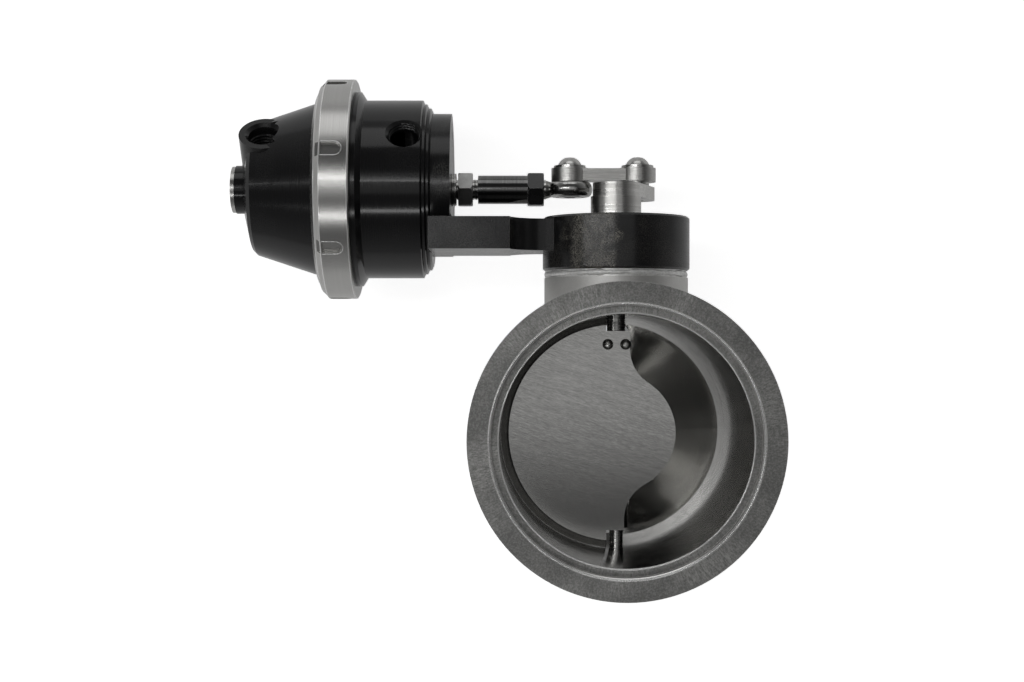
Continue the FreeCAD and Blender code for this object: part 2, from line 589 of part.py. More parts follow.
def bracket():
    """Round mounting plate on the actuator's end and the flat arm that reaches the bonnet."""
    disc = cylinder("BracketDisc", "bracket_radius", "bracket_thickness",
                    ("-actuator_distance", "rod_height", ROD), "+X")
    below = box("BracketBelow", ("bracket_thickness", "bracket_radius", "bracket_radius*2"),
                ("-actuator_distance", "arm_bottom-bracket_radius", ROD + "-bracket_radius"))
    plate = drilled("BracketPlate", disc, [below])
    arm = box("BracketArm", ("actuator_distance-arm_joint_distance", "arm_height", "arm_half_width*2"),
              ("-actuator_distance", "arm_bottom", SHAFT + "-arm_half_width"))
    block = box("BracketFilletBlock", ("bracket_corner_radius", "bracket_corner_radius", "bracket_radius"),
                ("-actuator_distance+bracket_thickness", "arm_bottom+arm_height", SHAFT + "-arm_half_width"))
    round_tool = cylinder("BracketFilletRound", "bracket_corner_radius", "bracket_radius",
                          ("-actuator_distance+bracket_thickness+bracket_corner_radius",
                           "arm_bottom+arm_height+bracket_corner_radius", SHAFT + "-arm_half_width"), "+Z")
    fillet = drilled("BracketFillet", block, [round_tool])
    blank = fused("BracketBlank", [plate, arm, fillet])
    guide = cylinder("BracketGuideHole", "guide_radius+head_clearance", "bracket_thickness",
                     ("-actuator_distance", "rod_height", ROD), "+X")
    holes = bracket_holes("BracketHole", "screw_radius+press_gap", "actuator_distance-arm_joint_distance",
                          "-actuator_distance", "+X")
    heads = bracket_holes("BracketHead", "screw_head_radius+head_clearance",
                          "screw_head_height+head_clearance", "-actuator_distance", "+X")
    small = around_rod("BracketSmallHole", "small_screw_radius+press_gap", "bracket_thickness",
                       "-actuator_distance", "+X")
    sunk = around_rod("BracketSmallHead", "small_head_radius+head_clearance",
                      "small_head_height", "-actuator_distance+bracket_thickness-small_head_height", "+X")
    return drilled("Bracket", blank, [guide] + holes + heads + small + sunk)


SCREW_ANGLES = (90.0, 210.0, 330.0)


def around_rod(name, radius, length, across, direction):
    """Three round tools about the rod's axis."""
    tools = []
    for index, angle in enumerate(SCREW_ANGLES):
        turn = math.radians(angle)
        up = "rod_height" + scaled("bracket_screw_radius", math.sin(turn))
        out = ROD + scaled("bracket_screw_radius", math.cos(turn))
        tools.append(cylinder("%s%d" % (name, index), radius, length, (across, up, out), direction))
    return tools


def small_spots(across):
    """Head and shank positions of the three screws that hold the bracket to the base."""
    spots = []
    for angle in SCREW_ANGLES:
        turn = math.radians(angle)
        up = "rod_height" + scaled("bracket_screw_radius", math.sin(turn))
        out = ROD + scaled("bracket_screw_radius", math.cos(turn))
        spots.append(((across + "+bracket_thickness-small_head_height", up, out),
                      (across + "-small_screw_grip", up, out)))
    return spots


def bracket_screws():
    """Three screws from the bracket into the actuator's base."""
    return socket_screws("BracketScrews", small_spots("-actuator_distance"), "small_screw_radius",
                         "small_screw_grip+bracket_thickness-small_head_height", "small_head_radius",
                         "small_head_height", "+X")


def arm_bolts():
    """Two bolts along the arm that draw the bracket against the bonnet's lug."""
    height = "arm_bottom+arm_height*0.5"
    spots = []
    for part in ("+arm_bolt_half_spacing", "-arm_bolt_half_spacing"):
        spots.append((("-actuator_distance+screw_head_height+head_clearance", height, SHAFT + part),
                      ("-arm_joint_distance+screw_grip-edge_break", height, SHAFT + part)))
    return socket_screws("ArmBolts", spots, "screw_radius",
                         "actuator_distance-arm_joint_distance+screw_grip-edge_break-screw_head_height-head_clearance",
                         "screw_head_radius", "screw_head_height", "-X")


# ---------------------------------------------------------------- actuator
def polar_point(reach, at, angle):
    """A point off the actuator's axis; the angle is measured from +Z towards +Y."""
    turn = math.radians(size(angle))
    return ("-actuator_distance" + minus(at), "rod_height" + scaled(reach, math.sin(turn)),
            ROD + scaled(reach, math.cos(turn)))


def port_tools(name, reach, at, angle):
    """A threaded port and its countersunk mouth, square to the housing's axis."""
    rotation = Rotation(Vector(1, 0, 0), -size(angle))
    hole = cylinder(name + "Hole", "port_radius", "port_depth+overcut*3",
                    polar_point(reach + "-port_depth", at, angle), rotation)
    mouth = cone(name + "Mouth", "port_radius", "port_radius+port_mouth_depth*2", "port_mouth_depth*2",
                 polar_point(reach + "-port_mouth_depth", at, angle), rotation)
    return [hole, mouth]


def base_housing():
    """Cup-shaped lower housing: ridged nose, smooth barrel, rim and thread for the collar."""
    ridges = [("base_nose_radius", "0")]
    for step in range(3):
        radius = "base_nose_radius+ridge_height*%.2f" % (step + 0.9)
        ridges += [(radius, "ridge_height*%.2f" % (step + 0.45)), (radius, "ridge_height*%.2f" % (step + 1))]
    outside = turned("BaseOutside", [("0", "0")] + ridges + [
        ("base_radius", "ridge_height*3.2"), ("base_radius", "base_shoulder"),
        ("base_rim_radius", "base_rim_start"), ("base_rim_radius", "base_rim_end"),
        ("thread_radius", "base_rim_end"), ("thread_radius", "base_length"),
        ("0", "base_length")], ACTUATOR, "-X")
    chamber = cylinder("BaseChamber", "chamber_radius", "base_length-base_floor+overcut",
                       along_actuator("base_floor"), "-X")
    guide = cylinder("BaseGuideSeat", "guide_radius+press_gap", "base_floor+overcut*2",
                     ("-actuator_distance+overcut", "rod_height", ROD), "-X")
    taps = around_rod("BaseTap", "small_screw_radius+press_gap", "small_screw_grip+edge_break",
                      "-actuator_distance-small_screw_grip-edge_break", "+X")
    return drilled("BaseHousing", outside, [chamber, guide] + taps
                   + port_tools("BasePort", "base_radius", "base_port_distance", "base_port_angle"))


def cap_housing():
    """Conical cap with a domed end, a port boss and the adjuster's bore."""
    outside = turned("CapOutside", [
        ("0", "base_length+housing_gasket_thickness"), ("thread_radius", "base_length+housing_gasket_thickness"),
        ("thread_radius", "cap_flange_end"), ("cap_radius+edge_break*0.5", "cap_flange_end"),
        ("cap_radius", "collar_end"), ("cap_end_radius", "cap_cone_end"),
        ("cap_end_radius-edge_break*2", "cap_cone_end+edge_break*2"),
        ("cap_crown_radius", "cap_length"), ("0", "cap_length")], ACTUATOR, "-X")
    rotation = Rotation(Vector(1, 0, 0), -size("cap_port_angle"))
    boss = cylinder("CapBoss", "cap_boss_radius", "cap_boss_reach-adjuster_radius-edge_break*2",
                    polar_point("adjuster_radius+edge_break*2", "cap_port_distance", "cap_port_angle"),
                    rotation)
    blank = fused("CapBlank", [outside, boss])
    inside = turned("CapInside", [
        ("0", "base_length"), ("cap_radius-cap_wall", "base_length"),
        ("cap_radius-cap_wall", "collar_end"), ("cap_end_radius-cap_wall", "cap_cone_end-cap_wall"),
        ("0", "cap_cone_end-cap_wall")], ACTUATOR, "-X")
    core = cylinder("CapPortCore", "cap_boss_radius", "cap_boss_reach-hat_radius-edge_break*2",
                    polar_point("hat_radius+edge_break*2", "cap_port_distance", "cap_port_angle"), rotation)
    cavity = drilled("CapCavity", inside, [core])
    adjuster = cylinder("CapAdjusterBore", "adjuster_tip_radius+running_gap*2", "cap_length",
                        along_actuator("hat_end"), "-X")
    return drilled("CapHousing", blank, [cavity, adjuster]
                   + port_tools("CapPort", "cap_boss_reach", "cap_port_distance", "cap_port_angle"))


def collar():
    """Threaded collar that clamps cap to base, with open-ended spanner slots round it."""
    blank = turned("CollarBlank", [
        ("thread_radius+press_gap", "base_rim_end+flat_gap"),
        ("collar_radius-edge_break", "base_rim_end+flat_gap"),
        ("collar_radius", "base_rim_end+edge_break"),
        ("collar_radius", "cap_flange_end-collar_bevel*0.5"),
        ("collar_radius-collar_bevel", "cap_flange_end+collar_bevel*0.5"),
        ("collar_lip_radius+edge_break*3", "collar_end"), ("collar_lip_radius", "collar_end"),
        ("collar_lip_radius", "cap_flange_end+flat_gap"),
        ("thread_radius+press_gap", "cap_flange_end+flat_gap")], ACTUATOR, "-X")
    slots = []
    count = int(size("collar_slots"))
    for index in range(count):
        angle = 16.0 + 360.0 * index / count
        turn = math.radians(angle)
        reach = size("collar_radius") - size("collar_slot_depth")
        width = size("collar_slot_width")
        start = size("base_rim_end") + size("collar_end") - size("cap_flange_end") + width / 2
        keyway = Part.makeCylinder(width / 2, size("collar_slot_depth") * 2)
        run = Part.makeBox(size("collar_slot_length") * 2, width, size("collar_slot_depth") * 2,
                           Vector(0, -width / 2, 0))
        tool = keyway.fuse(run)
        tool.Placement = Placement(
            Vector(-size("actuator_distance") - start, size("rod_height") + reach * math.sin(turn),
                   value(ROD) + reach * math.cos(turn)),
            Rotation(Vector(-1, 0, 0), Vector(0, -math.cos(turn), math.sin(turn)),
                     Vector(0, math.sin(turn), math.cos(turn)), "XZY"))
        slots.append(shaped("CollarSlot%d" % index, tool))
    return drilled("Collar", blank, slots)


def piston_parts():
    """Top-hat piston with its seal, and the nut that holds it on the rod."""
    groove_low = "piston_start+piston_length*0.5-piston_seal_width*0.5"
    groove_high = "piston_start+piston_length*0.5+piston_seal_width*0.5"
    piston = turned("Piston", [
        ("hat_radius-hat_wall", "piston_start"), ("piston_radius", "piston_start"),
        ("piston_radius", groove_low), ("piston_radius-piston_seal_depth", groove_low),
        ("piston_radius-piston_seal_depth", groove_high), ("piston_radius", groove_high),
        ("piston_radius", "piston_start+piston_length"), ("hat_radius", "piston_start+piston_length"),
        ("hat_radius", "hat_end"), ("thread_size+press_gap", "hat_end"),
        ("thread_size+press_gap", "hat_end-hat_wall"), ("hat_radius-hat_wall", "hat_end-hat_wall")],
        ACTUATOR, "-X")
    seal = sleeve_piece("PistonSeal", "piston_radius-piston_seal_depth+press_gap",
                        "chamber_radius-running_gap*2", "piston_seal_width-press_gap*2",
                        along_actuator(groove_low + "+press_gap"), "-X")
    nut = drilled("PistonNut", hexagon("PistonNutBlank", "nut_width", "piston_nut_length",
                                       along_actuator("hat_end"), "-X"),
                  [cylinder("PistonNutHole", "thread_size+press_gap", "piston_nut_length",
                            along_actuator("hat_end"), "-X")])
    return piston, seal, nut


def actuator_rod():
    """Plain rod with a thread at each end."""
    end = "sleeve_end+shank_length+edge_break"
    shoulder = "lock_nut_start+edge_break" + minus(end)
    crown = "actuator_distance+hat_end-hat_wall" + minus(end)
    tip = "actuator_distance+hat_end+piston_nut_length+edge_break" + minus(end)
    return turned("ActuatorRod", [
        ("0", "0"), ("thread_size-edge_break*0.5", "0"), ("thread_size", "edge_break*0.5"),
        ("thread_size", shoulder), ("rod_radius", shoulder), ("rod_radius", crown),
        ("thread_size", crown), ("thread_size", tip), ("0", tip)], on_rod(end), "-X")


def rod_guides():
    """Guide bush through the bracket and base, and the seal behind it."""
    guide = sleeve_piece("RodGuide", "rod_radius+running_gap", "guide_radius",
                         "guide_depth+bracket_thickness+guide_reach",
                         ("-actuator_distance+bracket_thickness+guide_reach", "rod_height", ROD), "-X")
    seal = sleeve_piece("RodSeal", "rod_radius+running_gap", "guide_radius",
                        "rod_seal_length", along_actuator("guide_depth+flat_gap"), "-X")
    return guide, seal


def return_spring():
    """Round-wire spring between the base's floor and the piston's hat."""
    gap = size("press_gap")
    wire = size("spring_wire_radius")
    radius = size("spring_radius")
    start = size("base_floor") + wire + gap
    length = size("hat_end") - size("hat_wall") - wire - gap - start
    helix = Part.makeHelix(length / size("spring_coils"), length, radius)
    ring = Part.Wire(Part.makeCircle(wire, Vector(radius, 0, 0), Vector(0, 1, 0)))
    coil = Part.Wire(helix.Edges).makePipeShell([ring], True, True)
    spring = shaped("ReturnSpring", coil)
    return place(spring, along_actuator("base_floor+spring_wire_radius+press_gap"), "-X")


def adjuster():
    """Stop screw through the cap's end, and the bright ring on its head."""
    tip = "hat_end+piston_nut_length+edge_break+flat_gap"
    stem = cylinder("AdjusterStem", "adjuster_tip_radius", "cap_length" + minus(tip),
                    along_actuator(tip), "-X")
    head = cylinder("AdjusterHead", "adjuster_radius", "adjuster_reach", along_actuator("cap_length"), "-X")
    socket = hexagon("AdjusterSocket", "socket_width*2", "socket_depth*2",
                     along_actuator("cap_length+adjuster_reach-socket_depth"), "-X")
    screw = drilled("AdjusterScrew", fused("AdjusterBlank", [stem, head]), [socket])
    ring = sleeve_piece("AdjusterRing", "adjuster_tip_radius", "adjuster_radius-edge_break*0.5",
                        "adjuster_ring_width", along_actuator("cap_length+adjuster_reach"), "-X")
    return screw, ring


def housing_gasket():
    """Thin ring between base and cap."""
    return sleeve_piece("HousingGasket", "chamber_radius+head_clearance", "thread_radius-head_clearance",
                        "housing_gasket_thickness", along_actuator("base_length"), "-X")


# ---------------------------------------------------------------- rod hardware
def nut(name, start, length):
    """A hexagon nut with both rims chamfered."""
    blank = hexagon(name + "Hexagon", "nut_width", length, on_rod(start), "+X")
    crown = turned(name + "Crown", [
        ("0", "0"), ("nut_width*0.52", "0"), ("nut_width*0.58", "edge_break"),
        ("nut_width*0.58", length + "-edge_break"), ("nut_width*0.52", length), ("0", length)],
        on_rod(start), "+X")
    crowned = doc.addObject("Part::Common", name + "Crowned")
    crowned.Base, crowned.Tool = blank, crown
    hole = cylinder(name + "Hole", "thread_size+press_gap", length, on_rod(start), "+X")
    return drilled(name, crowned, [hole])


def rod_sleeve():
    """Turnbuckle sleeve that joins rod and rod end."""
    return sleeve_piece("RodSleeve", "thread_size+press_gap", "sleeve_radius",
                        "sleeve_start-sleeve_end", on_rod("sleeve_start"), "+X")


def rod_end():
    """Rod end: a rounded eye on a threaded shank, bored to a sphere for the ball."""
    edge = "eye_radius-edge_break*1.5"
    eye = turned("RodEye", [
        ("0", "0"), (edge, "0"), ("eye_radius", "eye_half_height*0.6"),
        ("eye_radius", "eye_half_height*1.4"), (edge, "eye_half_height*2"), ("0", "eye_half_height*2")],
        ("-eye_distance", "rod_height-eye_half_height", ROD), "+Y")
    shank = cylinder("RodEndShank", "thread_size", "shank_length+end_nut_length+edge_break",
                     on_rod("sleeve_end+shank_length"), "+X")
    neck = cone("RodEndNeck", "thread_size-edge_break*0.2", "eye_half_height",
                "sleeve_end-end_nut_length-edge_break-eye_distance-ball_radius-edge_break",
                on_rod("sleeve_end-end_nut_length-edge_break"), "+X")
    socket = doc.addObject("Part::Sphere", "RodEyeSocket")
    socket.setExpression("Radius", bound("ball_radius+running_gap"))
    place(socket, ("-eye_distance", "rod_height", ROD), "+Z")
    return drilled("RodEnd", fused("RodEndBlank", [eye, shank, neck]), [socket])


def rod_ball():
    """The rod end's ball, flat on both ends and bored for the link's screw."""
    ball = doc.addObject("Part::Sphere", "BallSphere")
    ball.setExpression("Radius", bound("ball_radius"))
    place(ball, ("-eye_distance", "rod_height", ROD), "+Z")
    slab = cylinder("BallSlab", "ball_radius+overcut", "ball_half_height*2",
                    ("-eye_distance", "rod_height-ball_half_height", ROD), "+Y")
    flat = doc.addObject("Part::Common", "BallFlat")
    flat.Base, flat.Tool = ball, slab
    hole = cylinder("BallHole", "stud_radius+press_gap", "ball_half_height*3",
                    ("-eye_distance", "rod_height-ball_half_height-overcut", ROD), "+Y")
    return drilled("RodBall", flat, [hole])


# ---------------------------------------------------------------- crank and link
def strap(name, first, first_radius, second, second_radius, low, thickness):
    """A flat bar with two round ends and the straight sides tangent to both."""
    start, end = Vector(first[0], low, first[1]), Vector(second[0], low, second[1])
    run = end - start
    lean = math.asin((first_radius - second_radius) / run.Length)
    heading = math.atan2(run.z, run.x)
    corners = []
    for centre, radius in ((start, first_radius), (end, second_radius)):
        for side in (1, -1):
            turn = heading + side * (math.pi / 2 - lean)
            corners.append(centre + Vector(math.cos(turn), 0, math.sin(turn)) * radius)
    sides = Part.makePolygon([corners[0], corners[2], corners[3], corners[1], corners[0]])
    up = Vector(0, thickness, 0)
    solid = Part.Face(sides).extrude(up)
    for centre, radius in ((start, first_radius), (end, second_radius)):
        solid = solid.fuse(Part.makeCylinder(radius, thickness, centre, Vector(0, 1, 0)))
    return shaped(name, solid.removeSplitter())


def crank():
    """Crank arm on the shaft and the round collar under it."""
    hub = sleeve_piece("ShaftCollar", "journal_radius+press_gap", "shaft_collar_radius",
                       "crank_arm_base-crank_base", ("0", "crank_base", SHAFT), "+Y")
    thickness = size("crank_arm_top") - size("crank_arm_base")
    arm = strap("CrankArmBlank", (0.0, value(SHAFT)), size("shaft_collar_radius") - size("edge_break"),
                (size("crank_reach"), value(SHAFT + "-crank_drop")), size("crank_boss_radius"),
                size("crank_arm_base"), thickness)
    shaft_hole = cylinder("CrankShaftHole", "journal_radius+press_gap", "crank_arm_top-crank_arm_base",
                          ("0", "crank_arm_base", SHAFT), "+Y")
    stud_hole = cylinder("CrankStudHole", "stud_radius+press_gap", "crank_arm_top-crank_arm_base",
                         ("crank_reach", "crank_arm_base", SHAFT + "-crank_drop"), "+Y")
    return hub, drilled("CrankArm", arm, [shaft_hole, stud_hole])


LINK_LOW = "rod_height+ball_half_height"
LINK_TOP = LINK_LOW + "+link_thickness"


def link_bar():
    """Link with a round boss at each end and a narrower web."""
    bosses = [cylinder("LinkBoss%d" % index, "link_boss_radius", "link_thickness",
                       (across, LINK_LOW, ROD), "+Y")
              for index, across in enumerate(("-eye_distance", "crank_reach"))]
    web = box("LinkWeb", ("eye_distance+crank_reach", "link_thickness-edge_break", "link_web_width"),
              ("-eye_distance", LINK_LOW + "+edge_break*0.5", ROD + "-link_web_width*0.5"))
    blank = fused("LinkBlank", [web] + bosses)
    ball_hole = cylinder("LinkBallHole", "stud_radius+press_gap", "link_thickness",
                         ("-eye_distance", LINK_LOW, ROD), "+Y")
    crank_hole = cylinder("LinkCrankHole", "link_eye_radius", "link_thickness",
                          ("crank_reach", LINK_LOW, ROD), "+Y")
    return drilled("LinkBar", blank, [ball_hole, crank_hole])


def button_screw(name, across, deep, low):
    """Button-head screw with a thin flange washer under its head."""
    seat = LINK_TOP + "+flat_gap"
    shank = cylinder(name + "Shank", "stud_radius", seat + minus(low), (across, low, deep), "+Y")
    washer = cylinder(name + "Washer", "washer_radius", "washer_thickness", (across, seat, deep), "+Y")
    head = domed_head(name + "Head", "head_radius", "head_rise", (across, seat + "+washer_thickness", deep),
                      "+Y")
    blank = fused(name + "Blank", [shank, washer, head])
    socket = hexagon(name + "Socket", "socket_width*0.75", "socket_depth",
                     (across, seat + "+washer_thickness+head_rise-socket_depth*0.6", deep), "+Y")
    return drilled(name, blank, [socket])


def link_screws():
    """Screw through the ball, stud in the crank, and the spacer on that stud."""
    ball_screw = button_screw("BallScrew", "-eye_distance", ROD, "rod_height-ball_half_height+edge_break")
    crank_stud = button_screw("CrankStud", "crank_reach", SHAFT + "-crank_drop",
                              "crank_arm_top-stud_depth")
    spacer = sleeve_piece("CrankSpacer", "stud_radius+press_gap", "spacer_radius",
                          LINK_LOW + "-flat_gap-crank_arm_top",
                          ("crank_reach", "crank_arm_top", SHAFT + "-crank_drop"), "+Y")
    return ball_screw, crank_stud, spacer


def build():
    """Make every piece and give the table of node name to document object."""
    nodes = {}
    nodes["valve_body"] = valve_body()
    nodes["seat_insert"] = seat_insert()
    nodes["flap"] = flap()
    nodes["flap_pins"] = flap_pins()
    nodes["shaft"] = shaft()
    (nodes["neck_bush"], nodes["bonnet_bush"], nodes["shaft_seal"], nodes["pivot_pin"],
     nodes["foot_plug"]) = bearings()
    nodes["bonnet"] = bonnet()
    nodes["bonnet_screws"] = bonnet_screws()
    nodes["neck_gasket"] = gasket()
    nodes["actuator_bracket"] = bracket()
    nodes["bracket_screws"] = bracket_screws()
    nodes["arm_bolts"] = arm_bolts()
    nodes["base_housing"] = base_housing()
    nodes["housing_gasket"] = housing_gasket()
    nodes["cap_housing"] = cap_housing()
    nodes["clamp_collar"] = collar()
    nodes["adjuster_screw"], nodes["adjuster_ring"] = adjuster()
    nodes["rod_guide"], nodes["rod_seal"] = rod_guides()
    nodes["return_spring"] = return_spring()
    nodes["piston"], nodes["piston_seal"], nodes["piston_nut"] = piston_parts()
    nodes["actuator_rod"] = actuator_rod()
    nodes["rod_lock_nut"] = nut("RodLockNut", "lock_nut_start", "lock_nut_length")
    nodes["rod_sleeve"] = rod_sleeve()
    nodes["end_lock_nut"] = nut("EndLockNut", "sleeve_end", "end_nut_length")
    nodes["rod_end"] = rod_end()
    nodes["rod_end_ball"] = rod_ball()
    nodes["link_bar"] = link_bar()
    nodes["link_screw"], nodes["crank_stud"], nodes["crank_spacer"] = link_screws()
    nodes["shaft_collar"], nodes["crank_arm"] = crank()
    return nodes


NODES = build()
doc.recompute()
for item in doc.Objects:
    if "Invalid" in item.State or "Error" in item.State:
        raise RuntimeError("failed object: " + item.Name)
os.makedirs("parts", exist_ok=True)
for node, piece in NODES.items():
    piece.Label = node
    if piece.Shape.isNull() or not piece.Shape.isValid():
        raise RuntimeError("bad shape: " + node)
for node, piece in NODES.items():
    piece.Shape.exportStep("parts/" + node + ".step")
    print(node, len(piece.Shape.Solids), round(piece.Shape.Volume, 2))
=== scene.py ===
"""Looks of a butterfly wastegate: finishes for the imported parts, fine pieces, light and camera."""
from __future__ import annotations

import json
import logging
import math
from abc import ABC, abstractmethod
from collections.abc import Sequence
from dataclasses import dataclass, field
from enum import Enum
from typing import ClassVar, Protocol

import bpy
import numpy as np
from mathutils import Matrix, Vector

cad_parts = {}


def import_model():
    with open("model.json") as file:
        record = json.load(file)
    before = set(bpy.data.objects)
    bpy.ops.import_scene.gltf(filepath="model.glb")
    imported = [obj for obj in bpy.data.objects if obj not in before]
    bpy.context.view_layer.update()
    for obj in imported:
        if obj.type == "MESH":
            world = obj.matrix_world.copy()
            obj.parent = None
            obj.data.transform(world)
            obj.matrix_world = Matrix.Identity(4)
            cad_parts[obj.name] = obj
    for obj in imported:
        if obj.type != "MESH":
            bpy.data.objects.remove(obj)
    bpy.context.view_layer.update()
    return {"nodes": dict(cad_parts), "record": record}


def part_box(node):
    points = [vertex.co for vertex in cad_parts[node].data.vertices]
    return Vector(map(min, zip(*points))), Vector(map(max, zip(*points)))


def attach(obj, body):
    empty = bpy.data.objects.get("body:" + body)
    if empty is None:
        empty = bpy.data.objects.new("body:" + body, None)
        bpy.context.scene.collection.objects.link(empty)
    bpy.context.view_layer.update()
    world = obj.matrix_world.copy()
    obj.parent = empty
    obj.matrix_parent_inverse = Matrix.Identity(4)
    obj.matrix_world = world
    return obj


LOG = logging.getLogger("wastegate")

Socket = bpy.types.NodeSocket
Value = Socket | float | tuple[float, ...]
Triple = tuple[float, float, float]

MM = 0.001
FULL_TURN = 2 * np.pi

BODY_LENGTH = 84 * MM
SHAFT_Z = 42 * MM
ROD_Y = 61.7 * MM
ROD_Z = 29 * MM
BALL_X = -11.1 * MM
STUD_X = 6.3 * MM
STUD_Z = SHAFT_Z - 12.5 * MM
GASKET_RADIUS = 17.5 * MM
GASKET_LOW = 38.4 * MM
GASKET_HIGH = 40.2 * MM
COLLAR_RADIUS = 28.1 * MM
COLLAR_CAP_EDGE = -72.65 * MM
COLLAR_SLOTS = 7
SLOT_WIDTH = 3.6 * MM
SLOT_END = -69.1 * MM
FIRST_SLOT_TURN = math.radians(16.0)

ALONG_X: Triple = (1.0, 0.0, 0.0)
ALONG_Y: Triple = (0.0, 1.0, 0.0)
ALONG_Z: Triple = (0.0, 0.0, 1.0)

STEEL: Triple = (0.62, 0.615, 0.60)
DIM: Triple = (0.30, 0.298, 0.29)
LIT: Triple = (0.55, 0.547, 0.53)
# Colour of bright edges: partly wearing, partly painted highlight.
WORN_AND_GLINT: Triple = (0.8, 0.8, 0.79)
BLACK: Triple = (0.008, 0.008, 0.0085)
SOOT: Triple = (0.022, 0.022, 0.023)
JET: Triple = (0.011, 0.011, 0.0115)


class Axis(Enum):
    """The axis that a part was turned about."""

    BORE = "bore"
    SHAFT = "shaft"
    ACTUATOR = "actuator"
    BALL_SCREW = "ball_screw"
    CRANK_STUD = "crank_stud"


class Graph:
    """Short names for adding and joining the nodes of one node tree."""

    def __init__(self, tree: bpy.types.NodeTree) -> None:
        """Keep the tree.

        Args:
            tree: the node tree that the nodes go into.
        """
        self.tree = tree

    def node(self, kind: str, **settings: object) -> bpy.types.Node:
        """Add one node.

        Args:
            kind: the node's type name.
            settings: properties to set on it.

        Returns:
            The new node.
        """
        made = self.tree.nodes.new(kind)
        for name, setting in settings.items():
            setattr(made, name, setting)
        return made

    def feed(self, socket: Socket, value: Value) -> None:
        """Link a socket into an input, or set the input's own value.

        Args:
            socket: the input.
            value: another node's output, a number or a tuple.
        """
        if isinstance(value, bpy.types.NodeSocket):
            self.tree.links.new(value, socket)
        else:
            socket.default_value = value

    def math(self, operation: str, *values: Value, clamp: bool = False) -> Socket:
        """Add a Math node.

        Args:
            operation: its operation.
            values: its inputs in order.
            clamp: whether the result is kept from 0 to 1.

        Returns:
            The result.
        """
        made = self.node("ShaderNodeMath", operation=operation, use_clamp=clamp)
        for socket, value in zip(made.inputs, values):
            self.feed(socket, value)
        return made.outputs[0]

    def plus(self, first: Value, second: Value, clamp: bool = False) -> Socket:
        """Add two numbers."""
        return self.math("ADD", first, second, clamp=clamp)

    def minus(self, first: Value, second: Value) -> Socket:
        """Take the second number from the first."""
        return self.math("SUBTRACT", first, second)

    def times(self, first: Value, second: Value, clamp: bool = False) -> Socket:
        """Multiply two numbers."""
        return self.math("MULTIPLY", first, second, clamp=clamp)

    def vector(self, operation: str, *values: Value) -> Socket:
        """Add a Vector Math node.

        Args:
            operation: its operation.
            values: its inputs in order.

        Returns:
            The vector, or the number for LENGTH and DOT_PRODUCT.
        """
        made = self.node("ShaderNodeVectorMath", operation=operation)
        for socket, value in zip(made.inputs, values):
            self.feed(socket, value)
        return made.outputs["Value" if operation in ("LENGTH", "DOT_PRODUCT") else "Vector"]

    def noise(self, vector: Socket, scale: Value, detail: float = 2.0, rough: float = 0.5
              ) -> Socket:
        """Add a Noise Texture.

        Args:
            vector: the place to read it at.
            scale: features per metre.
            detail: octaves.
            rough: weight of the finer octaves.

        Returns:
            Its value, about 0.3 to 0.7.
        """
        made = self.node("ShaderNodeTexNoise")
        self.feed(made.inputs["Vector"], vector)
        self.feed(made.inputs["Scale"], scale)
        made.inputs["Detail"].default_value = detail
        made.inputs["Roughness"].default_value = rough
        return made.outputs["Fac"]

    def spread(self, value: Value, low: float, high: float, to_low: float = 0.0,
               to_high: float = 1.0) -> Socket:
        """Rescale a number from one span to another, clamped.

        Args:
            value: the number.
            low: start of its span.
            high: end of its span.
            to_low: result at the start.
            to_high: result at the end.

        Returns:
            The rescaled number.
        """
        made = self.node("ShaderNodeMapRange", clamp=True)
        for socket, number in zip(made.inputs, (value, low, high, to_low, to_high)):
            self.feed(socket, number)
        return made.outputs[0]

    def blend(self, share: Value, first: Value, second: Value) -> Socket:
        """Mix two colours.

        Args:
            share: part of the second.
            first: colour at 0.
            second: colour at 1.

        Returns:
            The mixed colour.
        """
        made = self.node("ShaderNodeMix", data_type="RGBA")
        self.feed(made.inputs["Factor"], share)
        self.feed(made.inputs["A"], rgba(first))
        self.feed(made.inputs["B"], rgba(second))
        return made.outputs["Result"]

    def join(self, x: Value, y: Value, z: Value) -> Socket:
        """Make a vector of three numbers."""
        made = self.node("ShaderNodeCombineXYZ")
        for socket, value in zip(made.inputs, (x, y, z)):
            self.feed(socket, value)
        return made.outputs[0]

    def split(self, vector: Socket) -> list[Socket]:
        """Give a vector's three numbers."""
        made = self.node("ShaderNodeSeparateXYZ")
        self.feed(made.inputs[0], vector)
        return list(made.outputs)

    def place(self, group: bpy.types.NodeTree, **values: Value) -> bpy.types.Node:
        """Put a shared node group into this tree.

        Args:
            group: the group.
            values: its inputs, by their names in lower case.

        Returns:
            The group's node.
        """
        made = self.node("ShaderNodeGroup", node_tree=group)
        for name, value in values.items():
            self.feed(made.inputs[name.capitalize()], value)
        return made

    def bump(self, shader: bpy.types.Node, height: Socket, depth: float) -> None:
        """Raise a shader's surface.

        Args:
            shader: the Principled BSDF.
            height: relief from 0 to 1.
            depth: how deep that relief is, in metres.
        """
        made = self.node("ShaderNodeBump")
        made.inputs["Strength"].default_value = 1.0
        made.inputs["Distance"].default_value = depth
        self.feed(made.inputs["Height"], height)
        self.feed(shader.inputs["Normal"], made.outputs[0])


def rgba(colour: Value) -> Value:
    """Give a three-part colour its fourth part; leave a socket alone."""
    if isinstance(colour, tuple) and len(colour) == 3:
        return (*colour, 1.0)
    return colour


def object_place(graph: Graph) -> Socket:
    """Give the object's own coordinates."""
    return graph.node("ShaderNodeTexCoord").outputs["Object"]


